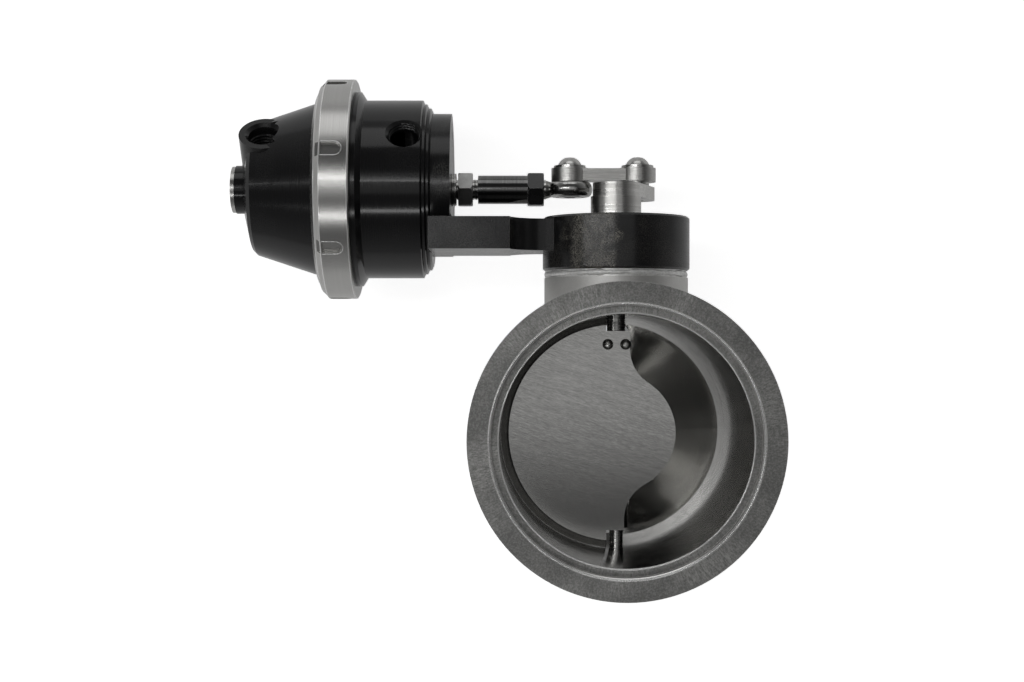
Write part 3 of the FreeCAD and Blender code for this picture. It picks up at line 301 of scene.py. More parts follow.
def about(graph: Graph, axis: Axis) -> Socket:
    """Object coordinates moved so that Z runs along an axis of the part.

    Args:
        graph: the material's graph.
        axis: which axis.

    Returns:
        The vector.
    """
    x, y, z = graph.split(object_place(graph))
    if axis is Axis.BORE:
        return graph.join(x, y, z)
    if axis is Axis.ACTUATOR:
        return graph.join(graph.minus(y, ROD_Y), graph.minus(z, ROD_Z), x)
    centre_x, centre_z = {Axis.SHAFT: (0.0, SHAFT_Z), Axis.BALL_SCREW: (BALL_X, ROD_Z),
                          Axis.CRANK_STUD: (STUD_X, STUD_Z)}[axis]
    return graph.join(graph.minus(x, centre_x), graph.minus(z, centre_z), y)


def new_group(name: str, inputs: dict[str, tuple[str, object]], outputs: Sequence[str]
              ) -> tuple[bpy.types.NodeTree, Graph, dict[str, Socket], bpy.types.Node]:
    """Start a shared node group.

    Args:
        name: the group's name.
        inputs: socket name to socket type and default value.
        outputs: names of its number outputs.

    Returns:
        The group, its graph, its input sockets by name and its output node.
    """
    tree = bpy.data.node_groups.new(name, "ShaderNodeTree")
    for label, (kind, default) in inputs.items():
        socket = tree.interface.new_socket(name=label, in_out="INPUT", socket_type=kind)
        if default is not None:
            socket.default_value = default
    for label in outputs:
        tree.interface.new_socket(name=label, in_out="OUTPUT", socket_type="NodeSocketFloat")
    graph = Graph(tree)
    start = graph.node("NodeGroupInput")
    end = graph.node("NodeGroupOutput")
    return tree, graph, {socket.name: socket for socket in start.outputs if socket.name}, end


@dataclass
class Effects:
    """The shader node groups that the finishes share."""

    turned: bpy.types.NodeTree = field(init=False)
    grain: bpy.types.NodeTree = field(init=False)
    wear_and_glint: bpy.types.NodeTree = field(init=False)
    blast: bpy.types.NodeTree = field(init=False)
    edge_wear_and_glint_radius: ClassVar[float] = 0.28 * MM

    def __post_init__(self) -> None:
        """Make every group."""
        self.turned = self._turned_marks()
        self.grain = self._grain()
        self.wear_and_glint = self._edge_wear_and_glint()
        self.blast = self._blasting()

    def _turned_marks(self) -> bpy.types.NodeTree:
        """Lathe marks: noise read at (radius, height), so it is rings on a face and on a wall.

        Returns:
            The group; its vector has the turning axis as Z.
        """
        tree, graph, given, end = new_group("Turned marks", {
            "Vector": ("NodeSocketVector", None), "Pitch": ("NodeSocketFloat", 0.3 * MM),
            "Chatter": ("NodeSocketFloat", 0.3)}, ("Height", "Shade"))
        x, y, z = graph.split(given["Vector"])
        radius = graph.vector("LENGTH", graph.join(x, y, 0.0))
        arc = graph.times(graph.math("ARCTAN2", y, x), 0.02)
        density = graph.math("DIVIDE", 1.0, given["Pitch"])
        rings = graph.noise(graph.join(radius, z, 0.0), density, detail=3.0, rough=0.65)
        patch = graph.noise(graph.join(arc, radius, z), scale=160.0)
        chatter = graph.times(graph.spread(patch, 0.35, 0.65, -0.5, 0.5), given["Chatter"])
        graph.feed(end.inputs["Height"], rings)
        graph.feed(end.inputs["Shade"], graph.plus(graph.spread(rings, 0.3, 0.7), chatter,
                                                   clamp=True))
        return tree

    def _grain(self) -> bpy.types.NodeTree:
        """Brushed grain: fine and broad noise stretched along the vector's X.

        Returns:
            The group.
        """
        tree, graph, given, end = new_group("Brushed grain", {
            "Vector": ("NodeSocketVector", None), "Width": ("NodeSocketFloat", 0.2 * MM),
            "Stretch": ("NodeSocketFloat", 20.0)}, ("Height", "Shade"))
        x, y, z = graph.split(given["Vector"])
        drawn = graph.join(graph.math("DIVIDE", x, given["Stretch"]), y, z)
        lines = graph.noise(drawn, graph.math("DIVIDE", 1.0, given["Width"]), detail=3.0, rough=0.6)
        broad = graph.noise(drawn, graph.math("DIVIDE", 0.12, given["Width"]))
        graph.feed(end.inputs["Height"], lines)
        graph.feed(end.inputs["Shade"], graph.plus(
            graph.times(graph.spread(lines, 0.3, 0.7), 0.8),
            graph.times(graph.spread(broad, 0.35, 0.65), 0.2)))
        return tree

    def _edge_wear_and_glint(self) -> bpy.types.NodeTree:
        """Bright edges, partly wearing and partly painted highlight: where the surface's bevelled
        normal leaves its own.

        Returns:
            The group; its mask is 1 on an edge and 0 on a face.
        """
        tree, graph, given, end = new_group("Edge wear and glint", {
            "Vector": ("NodeSocketVector", None), "Sharpness": ("NodeSocketFloat", 1.0)},
            ("Mask",))
        bevel = graph.node("ShaderNodeBevel", samples=4)
        bevel.inputs["Radius"].default_value = self.edge_wear_and_glint_radius
        normal = graph.node("ShaderNodeNewGeometry").outputs["Normal"]
        turned = graph.minus(1.0, graph.vector("DOT_PRODUCT", bevel.outputs[0], normal))
        edge = graph.spread(turned, 0.02, 0.22)
        fine = graph.noise(given["Vector"], scale=900.0, detail=3.0)
        rubbed_and_highlight = graph.spread(fine, 0.35, 0.6, 0.35, 1.0)
        graph.feed(end.inputs["Mask"], graph.times(graph.times(edge, rubbed_and_highlight), given["Sharpness"],
                                                   clamp=True))
        return tree

    def _blasting(self) -> bpy.types.NodeTree:
        """Bead blasting: fine round dimples over faint cloudy stains.

        Returns:
            The group.
        """
        tree, graph, given, end = new_group("Bead blasting", {
            "Vector": ("NodeSocketVector", None), "Size": ("NodeSocketFloat", 0.25 * MM)},
            ("Height", "Shade"))
        dimples = graph.node("ShaderNodeTexVoronoi", feature="SMOOTH_F1")
        graph.feed(dimples.inputs["Vector"], given["Vector"])
        graph.feed(dimples.inputs["Scale"], graph.math("DIVIDE", 1.0, given["Size"]))
        depth = dimples.outputs["Distance"]
        stains = graph.noise(given["Vector"], scale=130.0, detail=4.0, rough=0.6)
        graph.feed(end.inputs["Height"], depth)
        graph.feed(end.inputs["Shade"], graph.plus(
            graph.times(graph.spread(depth, 0.1, 0.7), 0.4),
            graph.times(graph.spread(stains, 0.35, 0.65), 0.6)))
        return tree


@dataclass(frozen=True)
class Finish(ABC):
    """What every finish has.

    Attributes:
        name: the material's name.
        dark: the darker of its two tones.
        light: the lighter one.
        rough: lowest and highest roughness.
        metallic: 1 for bare metal.
        gloss: the specular level.
    """

    name: str
    dark: Triple
    light: Triple
    rough: tuple[float, float]
    metallic: float = 1.0
    gloss: float = 0.5

    @abstractmethod
    def material(self, effects: Effects) -> bpy.types.Material:
        """Make the material.

        Args:
            effects: the shared node groups.

        Returns:
            The material.
        """

    def _shader(self) -> tuple[bpy.types.Material, Graph, bpy.types.Node]:
        """Start the material.

        Returns:
            The material, its graph and its Principled BSDF.
        """
        material = bpy.data.materials.new(self.name)
        material.use_nodes = True
        graph = Graph(material.node_tree)
        shader = next(n for n in material.node_tree.nodes if n.type == "BSDF_PRINCIPLED")
        shader.inputs["Metallic"].default_value = self.metallic
        shader.inputs["Specular IOR Level"].default_value = self.gloss
        return material, graph, shader

    def _roughness(self, graph: Graph, shade: Value) -> Socket:
        """Give the roughness: the lighter the tone, the smoother the surface."""
        low, high = self.rough
        return graph.spread(shade, 0.0, 1.0, high, low)

    def _finish(self, graph: Graph, shader: bpy.types.Node, shade: Value, height: Value,
                depth: float, wear_and_glint: Value = 0.0, worn_and_glint: Value = WORN_AND_GLINT) -> None:
        """Wire shade, roughness, bright edges and relief into the shader; the bright edges are
        partly wearing and partly painted highlight.

        Args:
            graph: the material's graph.
            shader: its Principled BSDF.
            shade: 0 for the dark tone, 1 for the light one.
            height: relief from 0 to 1.
            depth: how deep that relief is, in metres.
            wear_and_glint: mask of wearing and painted highlight, mostly on edges.
            worn_and_glint: colour of a bright edge, partly wearing and partly painted highlight.
        """
        toned = graph.blend(shade, self.dark, self.light)
        # Painted highlight and wearing: blend toward the bright edge colour where the mask says.
        graph.feed(shader.inputs["Base Color"], graph.blend(wear_and_glint, toned, worn_and_glint))
        graph.feed(shader.inputs["Roughness"], self._roughness(graph, shade))
        graph.bump(shader, height, depth)


@dataclass(frozen=True)
class Turned(Finish):
    """A surface off the lathe, with rings at a pitch and some chatter."""

    axis: Axis = Axis.BORE
    pitch: float = 0.3 * MM
    depth: float = 2e-6
    wear_and_glint: float = 0.5
    chatter: float = 0.3

    def material(self, effects: Effects) -> bpy.types.Material:
        """Make the material; see Finish."""
        material, graph, shader = self._shader()
        where = about(graph, self.axis)
        marks = graph.place(effects.turned, vector=where, pitch=self.pitch, chatter=self.chatter)
        edge = graph.place(effects.wear_and_glint, vector=where, sharpness=self.wear_and_glint)
        self._finish(graph, shader, marks.outputs["Shade"], marks.outputs["Height"], self.depth,
                     edge.outputs["Mask"])
        return material


@dataclass(frozen=True)
class Brushed(Finish):
    """A surface brushed or milled in one direction."""

    turn: Triple = (0.0, 0.0, 0.0)
    width: float = 0.18 * MM
    stretch: float = 18.0
    depth: float = 3e-6
    wear_and_glint: float = 0.5

    def material(self, effects: Effects) -> bpy.types.Material:
        """Make the material; see Finish."""
        material, graph, shader = self._shader()
        mapping = graph.node("ShaderNodeMapping")
        graph.feed(mapping.inputs["Vector"], object_place(graph))
        mapping.inputs["Rotation"].default_value = self.turn
        where = mapping.outputs[0]
        lines = graph.place(effects.grain, vector=where, width=self.width, stretch=self.stretch)
        edge = graph.place(effects.wear_and_glint, vector=where, sharpness=self.wear_and_glint)
        self._finish(graph, shader, lines.outputs["Shade"], lines.outputs["Height"], self.depth,
                     edge.outputs["Mask"])
        return material


@dataclass(frozen=True)
class Blasted(Finish):
    """A bead-blasted or sintered surface."""

    size: float = 0.22 * MM
    depth: float = 6e-6
    wear_and_glint: float = 0.4

    def material(self, effects: Effects) -> bpy.types.Material:
        """Make the material; see Finish."""
        material, graph, shader = self._shader()
        where = object_place(graph)
        cloud = graph.place(effects.blast, vector=where, size=self.size)
        edge = graph.place(effects.wear_and_glint, vector=where, sharpness=self.wear_and_glint)
        self._finish(graph, shader, cloud.outputs["Shade"], cloud.outputs["Height"], self.depth,
                     edge.outputs["Mask"])
        return material


@dataclass(frozen=True)
class Rubber(Finish):
    """Moulded rubber with a faint bloom."""

    size: float = 0.4 * MM
    depth: float = 3e-6

    def material(self, effects: Effects) -> bpy.types.Material:
        """Make the material; see Finish."""
        material, graph, shader = self._shader()
        cloud = graph.place(effects.blast, vector=object_place(graph), size=self.size)
        self._finish(graph, shader, cloud.outputs["Shade"], cloud.outputs["Height"], self.depth)
        return material


@dataclass(frozen=True)
class Anodised(Finish):
    """Black anodising over lathe marks, scuffed to a speckled grey in patches, with two bands of
    painted highlight where asked.

    Attributes:
        rubbed_and_highlight: colour where the black is scuffed away, and of the painted highlight
            bands.
        patchy: how strong the scuffed patches are.
        highlight_bands: strength of two painted highlight bands at the front, where a strip lamp's
            speckled reflection falls.
        edge: colour of a bright edge, partly wearing and partly painted highlight.
    """

    axis: Axis = Axis.ACTUATOR
    pitch: float = 0.4 * MM
    depth: float = 1.5e-6
    rubbed_and_highlight: Triple = (0.05, 0.05, 0.05)
    patchy: float = 0.4
    highlight_bands: float = 0.0
    edge: Triple = (0.3, 0.3, 0.3)
    wear_and_glint: float = 0.3
    chatter: float = 0.4
    speck: float = 0.21 * MM
    highlight_band_spans: ClassVar[tuple[tuple[float, float], ...]] = ((-0.22, 0.2), (-0.55, 0.3))

    def material(self, effects: Effects) -> bpy.types.Material:
        """Make the material; see Finish."""
        material, graph, shader = self._shader()
        where = about(graph, self.axis)
        marks = graph.place(effects.turned, vector=where, pitch=self.pitch, chatter=self.chatter)
        specks = graph.place(effects.blast, vector=where, size=self.speck)
        patch = graph.spread(graph.noise(where, scale=75.0), 0.48, 0.66, 0.0, self.patchy)
        grit = graph.spread(graph.noise(where, scale=3800.0), 0.42, 0.62)
        # Where asked, the patch mask also takes the painted highlight bands.
        if self.highlight_bands > 0.0:
            patch = graph.math("MAXIMUM", patch, self._highlight_bands(graph, where))
        edge = graph.place(effects.wear_and_glint, vector=where, sharpness=self.wear_and_glint).outputs["Mask"]
        # Scuffing and painted highlight: the patches, the highlight bands and the edges take the
        # lighter colours.
        worn_and_glint = graph.math("MAXIMUM", graph.times(patch, grit), edge)
        height = graph.plus(graph.times(marks.outputs["Height"], 0.5),
                            graph.times(specks.outputs["Height"],
                                        graph.spread(patch, 0.0, 0.4, 0.15, 1.2)))
        self._finish(graph, shader, marks.outputs["Shade"], height, self.depth, worn_and_glint,
                     graph.blend(edge, self.rubbed_and_highlight, self.edge))
        return material

    def _highlight_bands(self, graph: Graph, where: Socket) -> Socket:
        """Two soft bands of painted highlight on the left of the front, where a strip lamp's
        speckled reflection falls.

        The mask falls off with the turn round the axis from each column's middle.

        Args:
            graph: the material's graph.
            where: coordinates with Z along the axis.

        Returns:
            The mask.
        """
        x, y, _ = graph.split(where)
        wander = graph.spread(graph.noise(where, scale=260.0), 0.3, 0.7, -0.5, 0.5)
        turn = graph.plus(graph.math("ARCTAN2", x, y), graph.times(wander, 0.35))
        masks = [graph.spread(graph.math("ABSOLUTE", graph.minus(turn, middle)), 0.03, width,
                              self.highlight_bands, 0.0)
                 for middle, width in self.highlight_band_spans]
        return graph.math("MAXIMUM", *masks)


@dataclass(frozen=True)
class ValveBodyFinish(Finish):
    """Blasted outside, scratched flange faces and a turned bore, told apart by place, with a painted
    glint ring on each flange's register chamfer.

    Attributes:
        face_from: distance from the body's middle at which a flange's face starts.
        bore_radius: radius inside which the surface is the bore's wall.
        glint_ring_radius: middle of the painted glint ring, on the chamfer of a flange's register.
        smoother: change in roughness on a face, in the bore and on the glint ring.
    """

    face_dark: Triple = (0.17, 0.17, 0.165)
    face_light: Triple = (0.5, 0.496, 0.48)
    bore_dark: Triple = (0.3, 0.298, 0.29)
    bore_light: Triple = (0.42, 0.417, 0.41)
    # Colour of the painted glint ring, and of the bright edges, which are partly wearing and partly
    # painted highlight.
    polished: Triple = (0.68, 0.675, 0.66)
    face_from: float = 37.6 * MM
    bore_radius: float = 29.3 * MM
    glint_ring_radius: float = 31.15 * MM
    smoother: Triple = (-0.04, -0.32, -0.16)
    depth: float = 8e-6

    def material(self, effects: Effects) -> bpy.types.Material:
        """Make the material; see Finish."""
        material, graph, shader = self._shader()
        where = about(graph, Axis.BORE)
        x, y, z = graph.split(where)
        radius = graph.vector("LENGTH", graph.join(x, y, 0.0))
        in_flange, in_bore, glint_ring = self._masks(graph, radius, z)
        cloud = graph.place(effects.blast, vector=where, size=0.3 * MM)
        marks = graph.place(effects.turned, vector=where, pitch=0.5 * MM, chatter=0.6)
        edge = graph.place(effects.wear_and_glint, vector=where, sharpness=0.8)
        arc = graph.times(graph.math("ARCTAN2", y, x), 0.035)
        spokes = graph.noise(graph.join(arc, graph.times(radius, 0.2), z), scale=3600.0,
                             detail=3.0, rough=0.65)
        outside = graph.blend(cloud.outputs["Shade"], self.dark, self.light)
        face = graph.blend(self._face_shade(graph, where, spokes), self.face_dark,
                           self.face_light)
        wall = graph.blend(marks.outputs["Shade"], self.bore_dark, self.bore_light)
        toned = graph.blend(in_bore, graph.blend(in_flange, outside, face), wall)
        # Painted highlight: the glint ring and the bright edges blend toward the bright colour.
        bright = graph.math("MAXIMUM", edge.outputs["Mask"], glint_ring)
        graph.feed(shader.inputs["Base Color"], graph.blend(bright, toned, self.polished))
        rough = self._roughness(graph, cloud.outputs["Shade"])
        for mask, change in zip((in_flange, in_bore, glint_ring), self.smoother):
            rough = graph.plus(rough, graph.times(mask, change))
        graph.feed(shader.inputs["Roughness"], rough)
        dimples = graph.times(cloud.outputs["Height"], graph.minus(1.0, in_bore))
        lines = graph.plus(graph.times(spokes, graph.times(in_flange, 0.5)),
                           graph.times(marks.outputs["Height"], graph.times(in_bore, 0.5)))
        graph.bump(shader, graph.plus(dimples, lines), self.depth)
        return material

    def _masks(self, graph: Graph, radius: Socket, height: Socket
               ) -> tuple[Socket, Socket, Socket]:
        """Tell the flange faces, the bore and the painted glint rings by radius and height.

        Args:
            graph: the material's graph.
            radius: distance from the bore's axis.
            height: place along it.

        Returns:
            The three masks.
        """
        middle = graph.math("ABSOLUTE", graph.minus(height, BODY_LENGTH / 2))
        in_flange = graph.times(graph.spread(middle, self.face_from, self.face_from + 0.3 * MM),
                                graph.math("GREATER_THAN", radius, self.bore_radius))
        in_bore = graph.spread(radius, self.bore_radius, self.bore_radius - 0.1 * MM)
        from_glint_ring = graph.math("ABSOLUTE", graph.minus(radius, self.glint_ring_radius))
        # Painted highlight: a thin ring on the register's chamfer.
        glint_ring = graph.times(in_flange, graph.spread(from_glint_ring, 0.42 * MM, 0.3 * MM))
        return in_flange, in_bore, glint_ring

    def _face_shade(self, graph: Graph, where: Socket, spokes: Socket) -> Socket:
        """Shade a flange's face: radial scratches in patches, and grit all over.

        Args:
            graph: the material's graph.
            where: the place.
            spokes: noise drawn out along the radius.

        Returns:
            0 for the dark tone, 1 for the light one.
        """
        patches = graph.spread(graph.noise(where, scale=60.0), 0.42, 0.6)
        grit = graph.spread(graph.noise(where, scale=2600.0, rough=0.6), 0.4, 0.75)
        scratches = graph.times(graph.spread(spokes, 0.36, 0.7), graph.times(patches, 0.6))
        return graph.plus(scratches, graph.times(grit, 0.4))


VALVE_BODY = ValveBodyFinish("valve body steel", (0.53, 0.526, 0.51), (0.62, 0.616, 0.6),
                             (0.42, 0.55))
SEAT = Turned("polished seat", (0.68, 0.675, 0.66), (0.8, 0.796, 0.78), (0.17, 0.24),
              pitch=0.4 * MM, depth=5e-7, wear_and_glint=0.3, chatter=0.2)
BRONZE = Blasted("bearing bronze", (0.36, 0.25, 0.11), (0.56, 0.41, 0.2), (0.35, 0.5))
RUBBER = Rubber("seal rubber", (0.01, 0.01, 0.01), (0.03, 0.03, 0.03), (0.5, 0.7), 0.0)
SHAFT_STEEL = Turned("shaft axis steel", DIM, STEEL, (0.2, 0.32), axis=Axis.SHAFT)
FOIL = Blasted("gasket foil", (0.6, 0.6, 0.59), (0.98, 0.98, 0.96), (0.3, 0.5), 0.45,
               size=0.6 * MM, depth=6e-5)
FLAP = Brushed("flap steel", (0.34, 0.338, 0.33), (0.58, 0.576, 0.56), (0.12, 0.2),
               turn=(0.0, 0.0, 0.3), width=0.16 * MM, stretch=8.0, depth=5e-6, wear_and_glint=0.2)
FLAP_PIN = Blasted("flap pin steel", (0.3, 0.3, 0.29), (0.55, 0.55, 0.53), (0.22, 0.35))
HUB = Turned("crank hub steel", (0.42, 0.415, 0.40), (0.62, 0.615, 0.60), (0.24, 0.34),
             axis=Axis.SHAFT, pitch=0.5 * MM)
LINK = Brushed("link steel", (0.36, 0.357, 0.345), (0.58, 0.575, 0.56), (0.26, 0.38),
               width=0.2 * MM, stretch=14.0)
ROD = Turned("rod steel", DIM, (0.5, 0.497, 0.485), (0.14, 0.24), axis=Axis.ACTUATOR,
             pitch=0.4 * MM)
SLEEVE = Turned("dark nickel sleeve", (0.10, 0.10, 0.10), (0.17, 0.17, 0.168), (0.1, 0.18),
                axis=Axis.ACTUATOR, pitch=0.5 * MM, depth=1e-6, wear_and_glint=0.3)
SCREW = Turned("screw steel", DIM, LIT, (0.18, 0.3), axis=Axis.BALL_SCREW)
STUD = Turned("stud steel", DIM, LIT, (0.18, 0.3), axis=Axis.CRANK_STUD)
OXIDE = Blasted("black oxide", BLACK, SOOT, (0.16, 0.28), 0.0)
PLATED = Blasted("plated nut", (0.24, 0.24, 0.235), (0.38, 0.38, 0.375), (0.36, 0.46), 0.9)
HOUSING_BLACK = Anodised("black anodised, actuator", BLACK, JET, (0.12, 0.17), 0.0, 0.35,
                         depth=6e-7, patchy=0.2)
BONNET_BLACK = Anodised("black anodised, bonnet", BLACK, JET, (0.16, 0.26), 0.0, 0.4,
                        axis=Axis.SHAFT, pitch=0.7 * MM, depth=3e-6, rubbed_and_highlight=(0.2, 0.19, 0.165),
                        patchy=0.25, highlight_bands=1.0)
MILLED_BLACK = Anodised("black anodised, milled", BLACK, JET, (0.16, 0.24), 0.0, 0.35,
                        depth=2e-6, rubbed_and_highlight=(0.1, 0.1, 0.095), patchy=0.6)
SATIN = Turned("satin collar", (0.42, 0.417, 0.405), (0.47, 0.466, 0.455), (0.25, 0.27),
               axis=Axis.ACTUATOR, depth=3e-8, wear_and_glint=0.9, chatter=0.05)
ALUMINIUM = Turned("machined aluminium", (0.45, 0.45, 0.45), (0.7, 0.7, 0.7), (0.25, 0.35),
                   axis=Axis.ACTUATOR)
GUIDE = Turned("guide steel", (0.36, 0.357, 0.345), (0.6, 0.595, 0.58), (0.2, 0.3),
               axis=Axis.ACTUATOR)
WIRE = Turned("spring wire", (0.2, 0.2, 0.2), (0.4, 0.4, 0.4), (0.25, 0.4), axis=Axis.ACTUATOR)
# Painted highlights: bright, half-metallic colours for thin beads that stand in for the light that
# chamfered edges catch; the beads are not real shape.
GLINT = Turned("painted edge glint", (0.7, 0.7, 0.69), (0.9, 0.9, 0.89), (0.2, 0.3), 0.6,
               axis=Axis.ACTUATOR, depth=1e-7)
REGISTER_GLINT = Turned("painted register edge glint", (0.6, 0.6, 0.59), (0.8, 0.8, 0.79), (0.2, 0.3),
                        0.7, depth=1e-7)

LOOKS: dict[str, Finish] = {
    "valve_body": VALVE_BODY, "seat_insert": SEAT, "neck_bush": BRONZE, "bonnet_bush": BRONZE,
    "shaft_seal": RUBBER, "pivot_pin": SHAFT_STEEL, "foot_plug": SHAFT_STEEL,
    "neck_gasket": FOIL, "flap": FLAP, "shaft": SHAFT_STEEL, "flap_pins": FLAP_PIN,
    "shaft_collar": HUB, "crank_arm": HUB, "crank_spacer": STUD, "crank_stud": STUD,
    "link_screw": SCREW, "link_bar": LINK, "rod_end": ROD, "rod_end_ball": SCREW,
    "rod_sleeve": SLEEVE, "actuator_rod": ROD, "rod_lock_nut": PLATED, "piston_nut": PLATED,
    "end_lock_nut": OXIDE, "base_housing": HOUSING_BLACK, "cap_housing": HOUSING_BLACK,
    "bonnet": BONNET_BLACK, "actuator_bracket": MILLED_BLACK, "clamp_collar": SATIN,
    "adjuster_ring": SATIN, "adjuster_screw": HOUSING_BLACK, "piston": ALUMINIUM,
    "piston_seal": RUBBER, "rod_seal": RUBBER, "housing_gasket": RUBBER, "rod_guide": GUIDE,
    "return_spring": WIRE, "bonnet_screws": OXIDE, "bracket_screws": OXIDE, "arm_bolts": OXIDE}


def square_to(axis: Triple) -> tuple[np.ndarray, np.ndarray]:
    """Give two unit vectors square to a unit vector and to each other."""
    side = np.cross(axis, ALONG_Z if abs(axis[2]) < 0.9 else ALONG_X)
    side /= np.linalg.norm(side)
    return side, np.cross(axis, side)


def swept(centre: np.ndarray, axis: Triple, turn: np.ndarray, reach: np.ndarray) -> np.ndarray:
    """Give points at a turn and a reach round an axis.

    Args:
        centre: point on the axis, one for all or one for each.
        axis: unit vector along it.
        turn: angle round it.
        reach: distance from it.

    Returns:
        Points of shape (n, 3).
    """
    side, up = square_to(axis)
    return centre + reach[:, None] * (np.outer(np.cos(turn), side) + np.outer(np.sin(turn), up))


class Sheet(Protocol):
    """A surface of two parameters that run from 0 to 1.

    Attributes:
        steps: grid points along each parameter.
        closed: whether each parameter joins up with its start.
    """

    steps: tuple[int, int]
    closed: tuple[bool, bool]

    def points(self, u: np.ndarray, v: np.ndarray) -> np.ndarray:
        """Give points of shape (n, 3) from the two parameters."""


@dataclass(frozen=True)
class Ring:
    """An oval section carried round a circle.

    Attributes:
        centre: middle of the circle.
        axis: unit vector square to the circle.
        radius: the circle's radius.
        half_width: half of the section, away from the axis.
        half_height: half of the section, along the axis.
        wander: how far the middle line strays, as a crushed foil edge does.
    """

    centre: Triple
    axis: Triple
    radius: float
    half_width: float
    half_height: float
    wander: float = 0.0
    steps: tuple[int, int] = (240, 10)
    closed: tuple[bool, bool] = (True, True)
    swell: ClassVar[float] = 0.4 * MM

    def points(self, u: np.ndarray, v: np.ndarray) -> np.ndarray:
        """Give points; u goes round the circle and v round the section.

        The middle line strays by a sum of sines, and the section swells with it.
        """
        turn, section = u * FULL_TURN, v * FULL_TURN
        stray = self.wander * (np.sin(9 * turn) + 0.7 * np.sin(23 * turn + 1.0)
                               + 0.5 * np.sin(41 * turn + 2.0))
        rise = self.half_height * np.sin(section) * (1 + stray / self.swell)
        return swept(np.array(self.centre) + np.outer(rise, self.axis), self.axis, turn,
                     self.radius + stray + self.half_width * np.cos(section))


@dataclass(frozen=True)
class Thread:
    """A screw thread as one ridged sheet round an axis, sunk into its part at both ends.

    Attributes:
        start: point on the axis where it starts.
        axis: unit vector along it.
        root: radius of the groove.
        crest: radius of the ridge, less than the root for an inner thread.
        pitch: length of one turn.
        length: length of the whole.
    """

    start: Triple
    axis: Triple
    root: float
    crest: float
    pitch: float
    length: float
    closed: tuple[bool, bool] = (True, False)
    around: ClassVar[int] = 72
    rows_per_turn: ClassVar[int] = 11

    @property
    def steps(self) -> tuple[int, int]:
        """Grid points round the axis and along it."""
        return self.around, int(self.length / self.pitch * self.rows_per_turn) + 2

    def points(self, u: np.ndarray, v: np.ndarray) -> np.ndarray:
        """Give points; u goes round the axis and v along it.

        The radius rises from root to crest and back once per pitch, its phase turns with the
        angle, and the ridge fades out at both ends.
        """
        turn = FULL_TURN * (u if self.crest > self.root else -u)
        phase = (v * self.length / self.pitch - turn / FULL_TURN) % 1.0
        ridge = np.clip(1.6 - np.abs(phase - 0.5) * 4.4, 0.0, 1.0)
        fade = np.clip(np.minimum(v, 1 - v) * self.length / (self.pitch * 0.6), 0.0, 1.0)
        centre = np.array(self.start) + np.outer(v * self.length, self.axis)
        return swept(centre, self.axis, turn, self.root + (self.crest - self.root) * ridge * fade)


@dataclass(frozen=True)
class SlotEdgeGlint:
    """A thin bright bead along the edge of one of the collar's spanner slots: a painted highlight,
    not real shape.

    Attributes:
        turn: angle of the slot's middle round the actuator's axis.
    """

    turn: float
    bead: float = 0.13 * MM
    proud: float = 0.45
    fade_length: float = 0.2 * MM
    trim: float = 0.0001
    steps: tuple[int, int] = (48, 8)
    closed: tuple[bool, bool] = (False, True)

    def points(self, u: np.ndarray, v: np.ndarray) -> np.ndarray:
        """Give points; u goes along the edge and v round the bead.

        The edge runs along one side, round the half circle and back, wrapped onto the collar.
        The bead fades out at both ends and stands proud of the collar by part of its radius.
        """
        half = SLOT_WIDTH / 2
        straight = SLOT_END - COLLAR_CAP_EDGE
        total = 2 * straight + math.pi * half
        way = (self.trim + u * (1 - 2 * self.trim)) * total
        bend = np.clip((way - straight) / half, 0.0, math.pi)
        before = np.maximum(straight - way, 0.0)
        after = np.maximum(way - straight - math.pi * half, 0.0)
        section = v * FULL_TURN
        thick = np.clip(np.minimum(way, total - way) / self.fade_length, 0.0, 1.0) * self.bead
        along = SLOT_END + (half + thick * np.cos(section)) * np.sin(bend) - before - after
        across = (half + thick * np.cos(section)) * np.cos(bend)
        reach = COLLAR_RADIUS - self.bead * (1 - self.proud) + thick * np.sin(section)
        turn = self.turn + across / COLLAR_RADIUS
        return np.stack([along, ROD_Y + reach * np.sin(turn), ROD_Z + reach * np.cos(turn)],
                        axis=1)


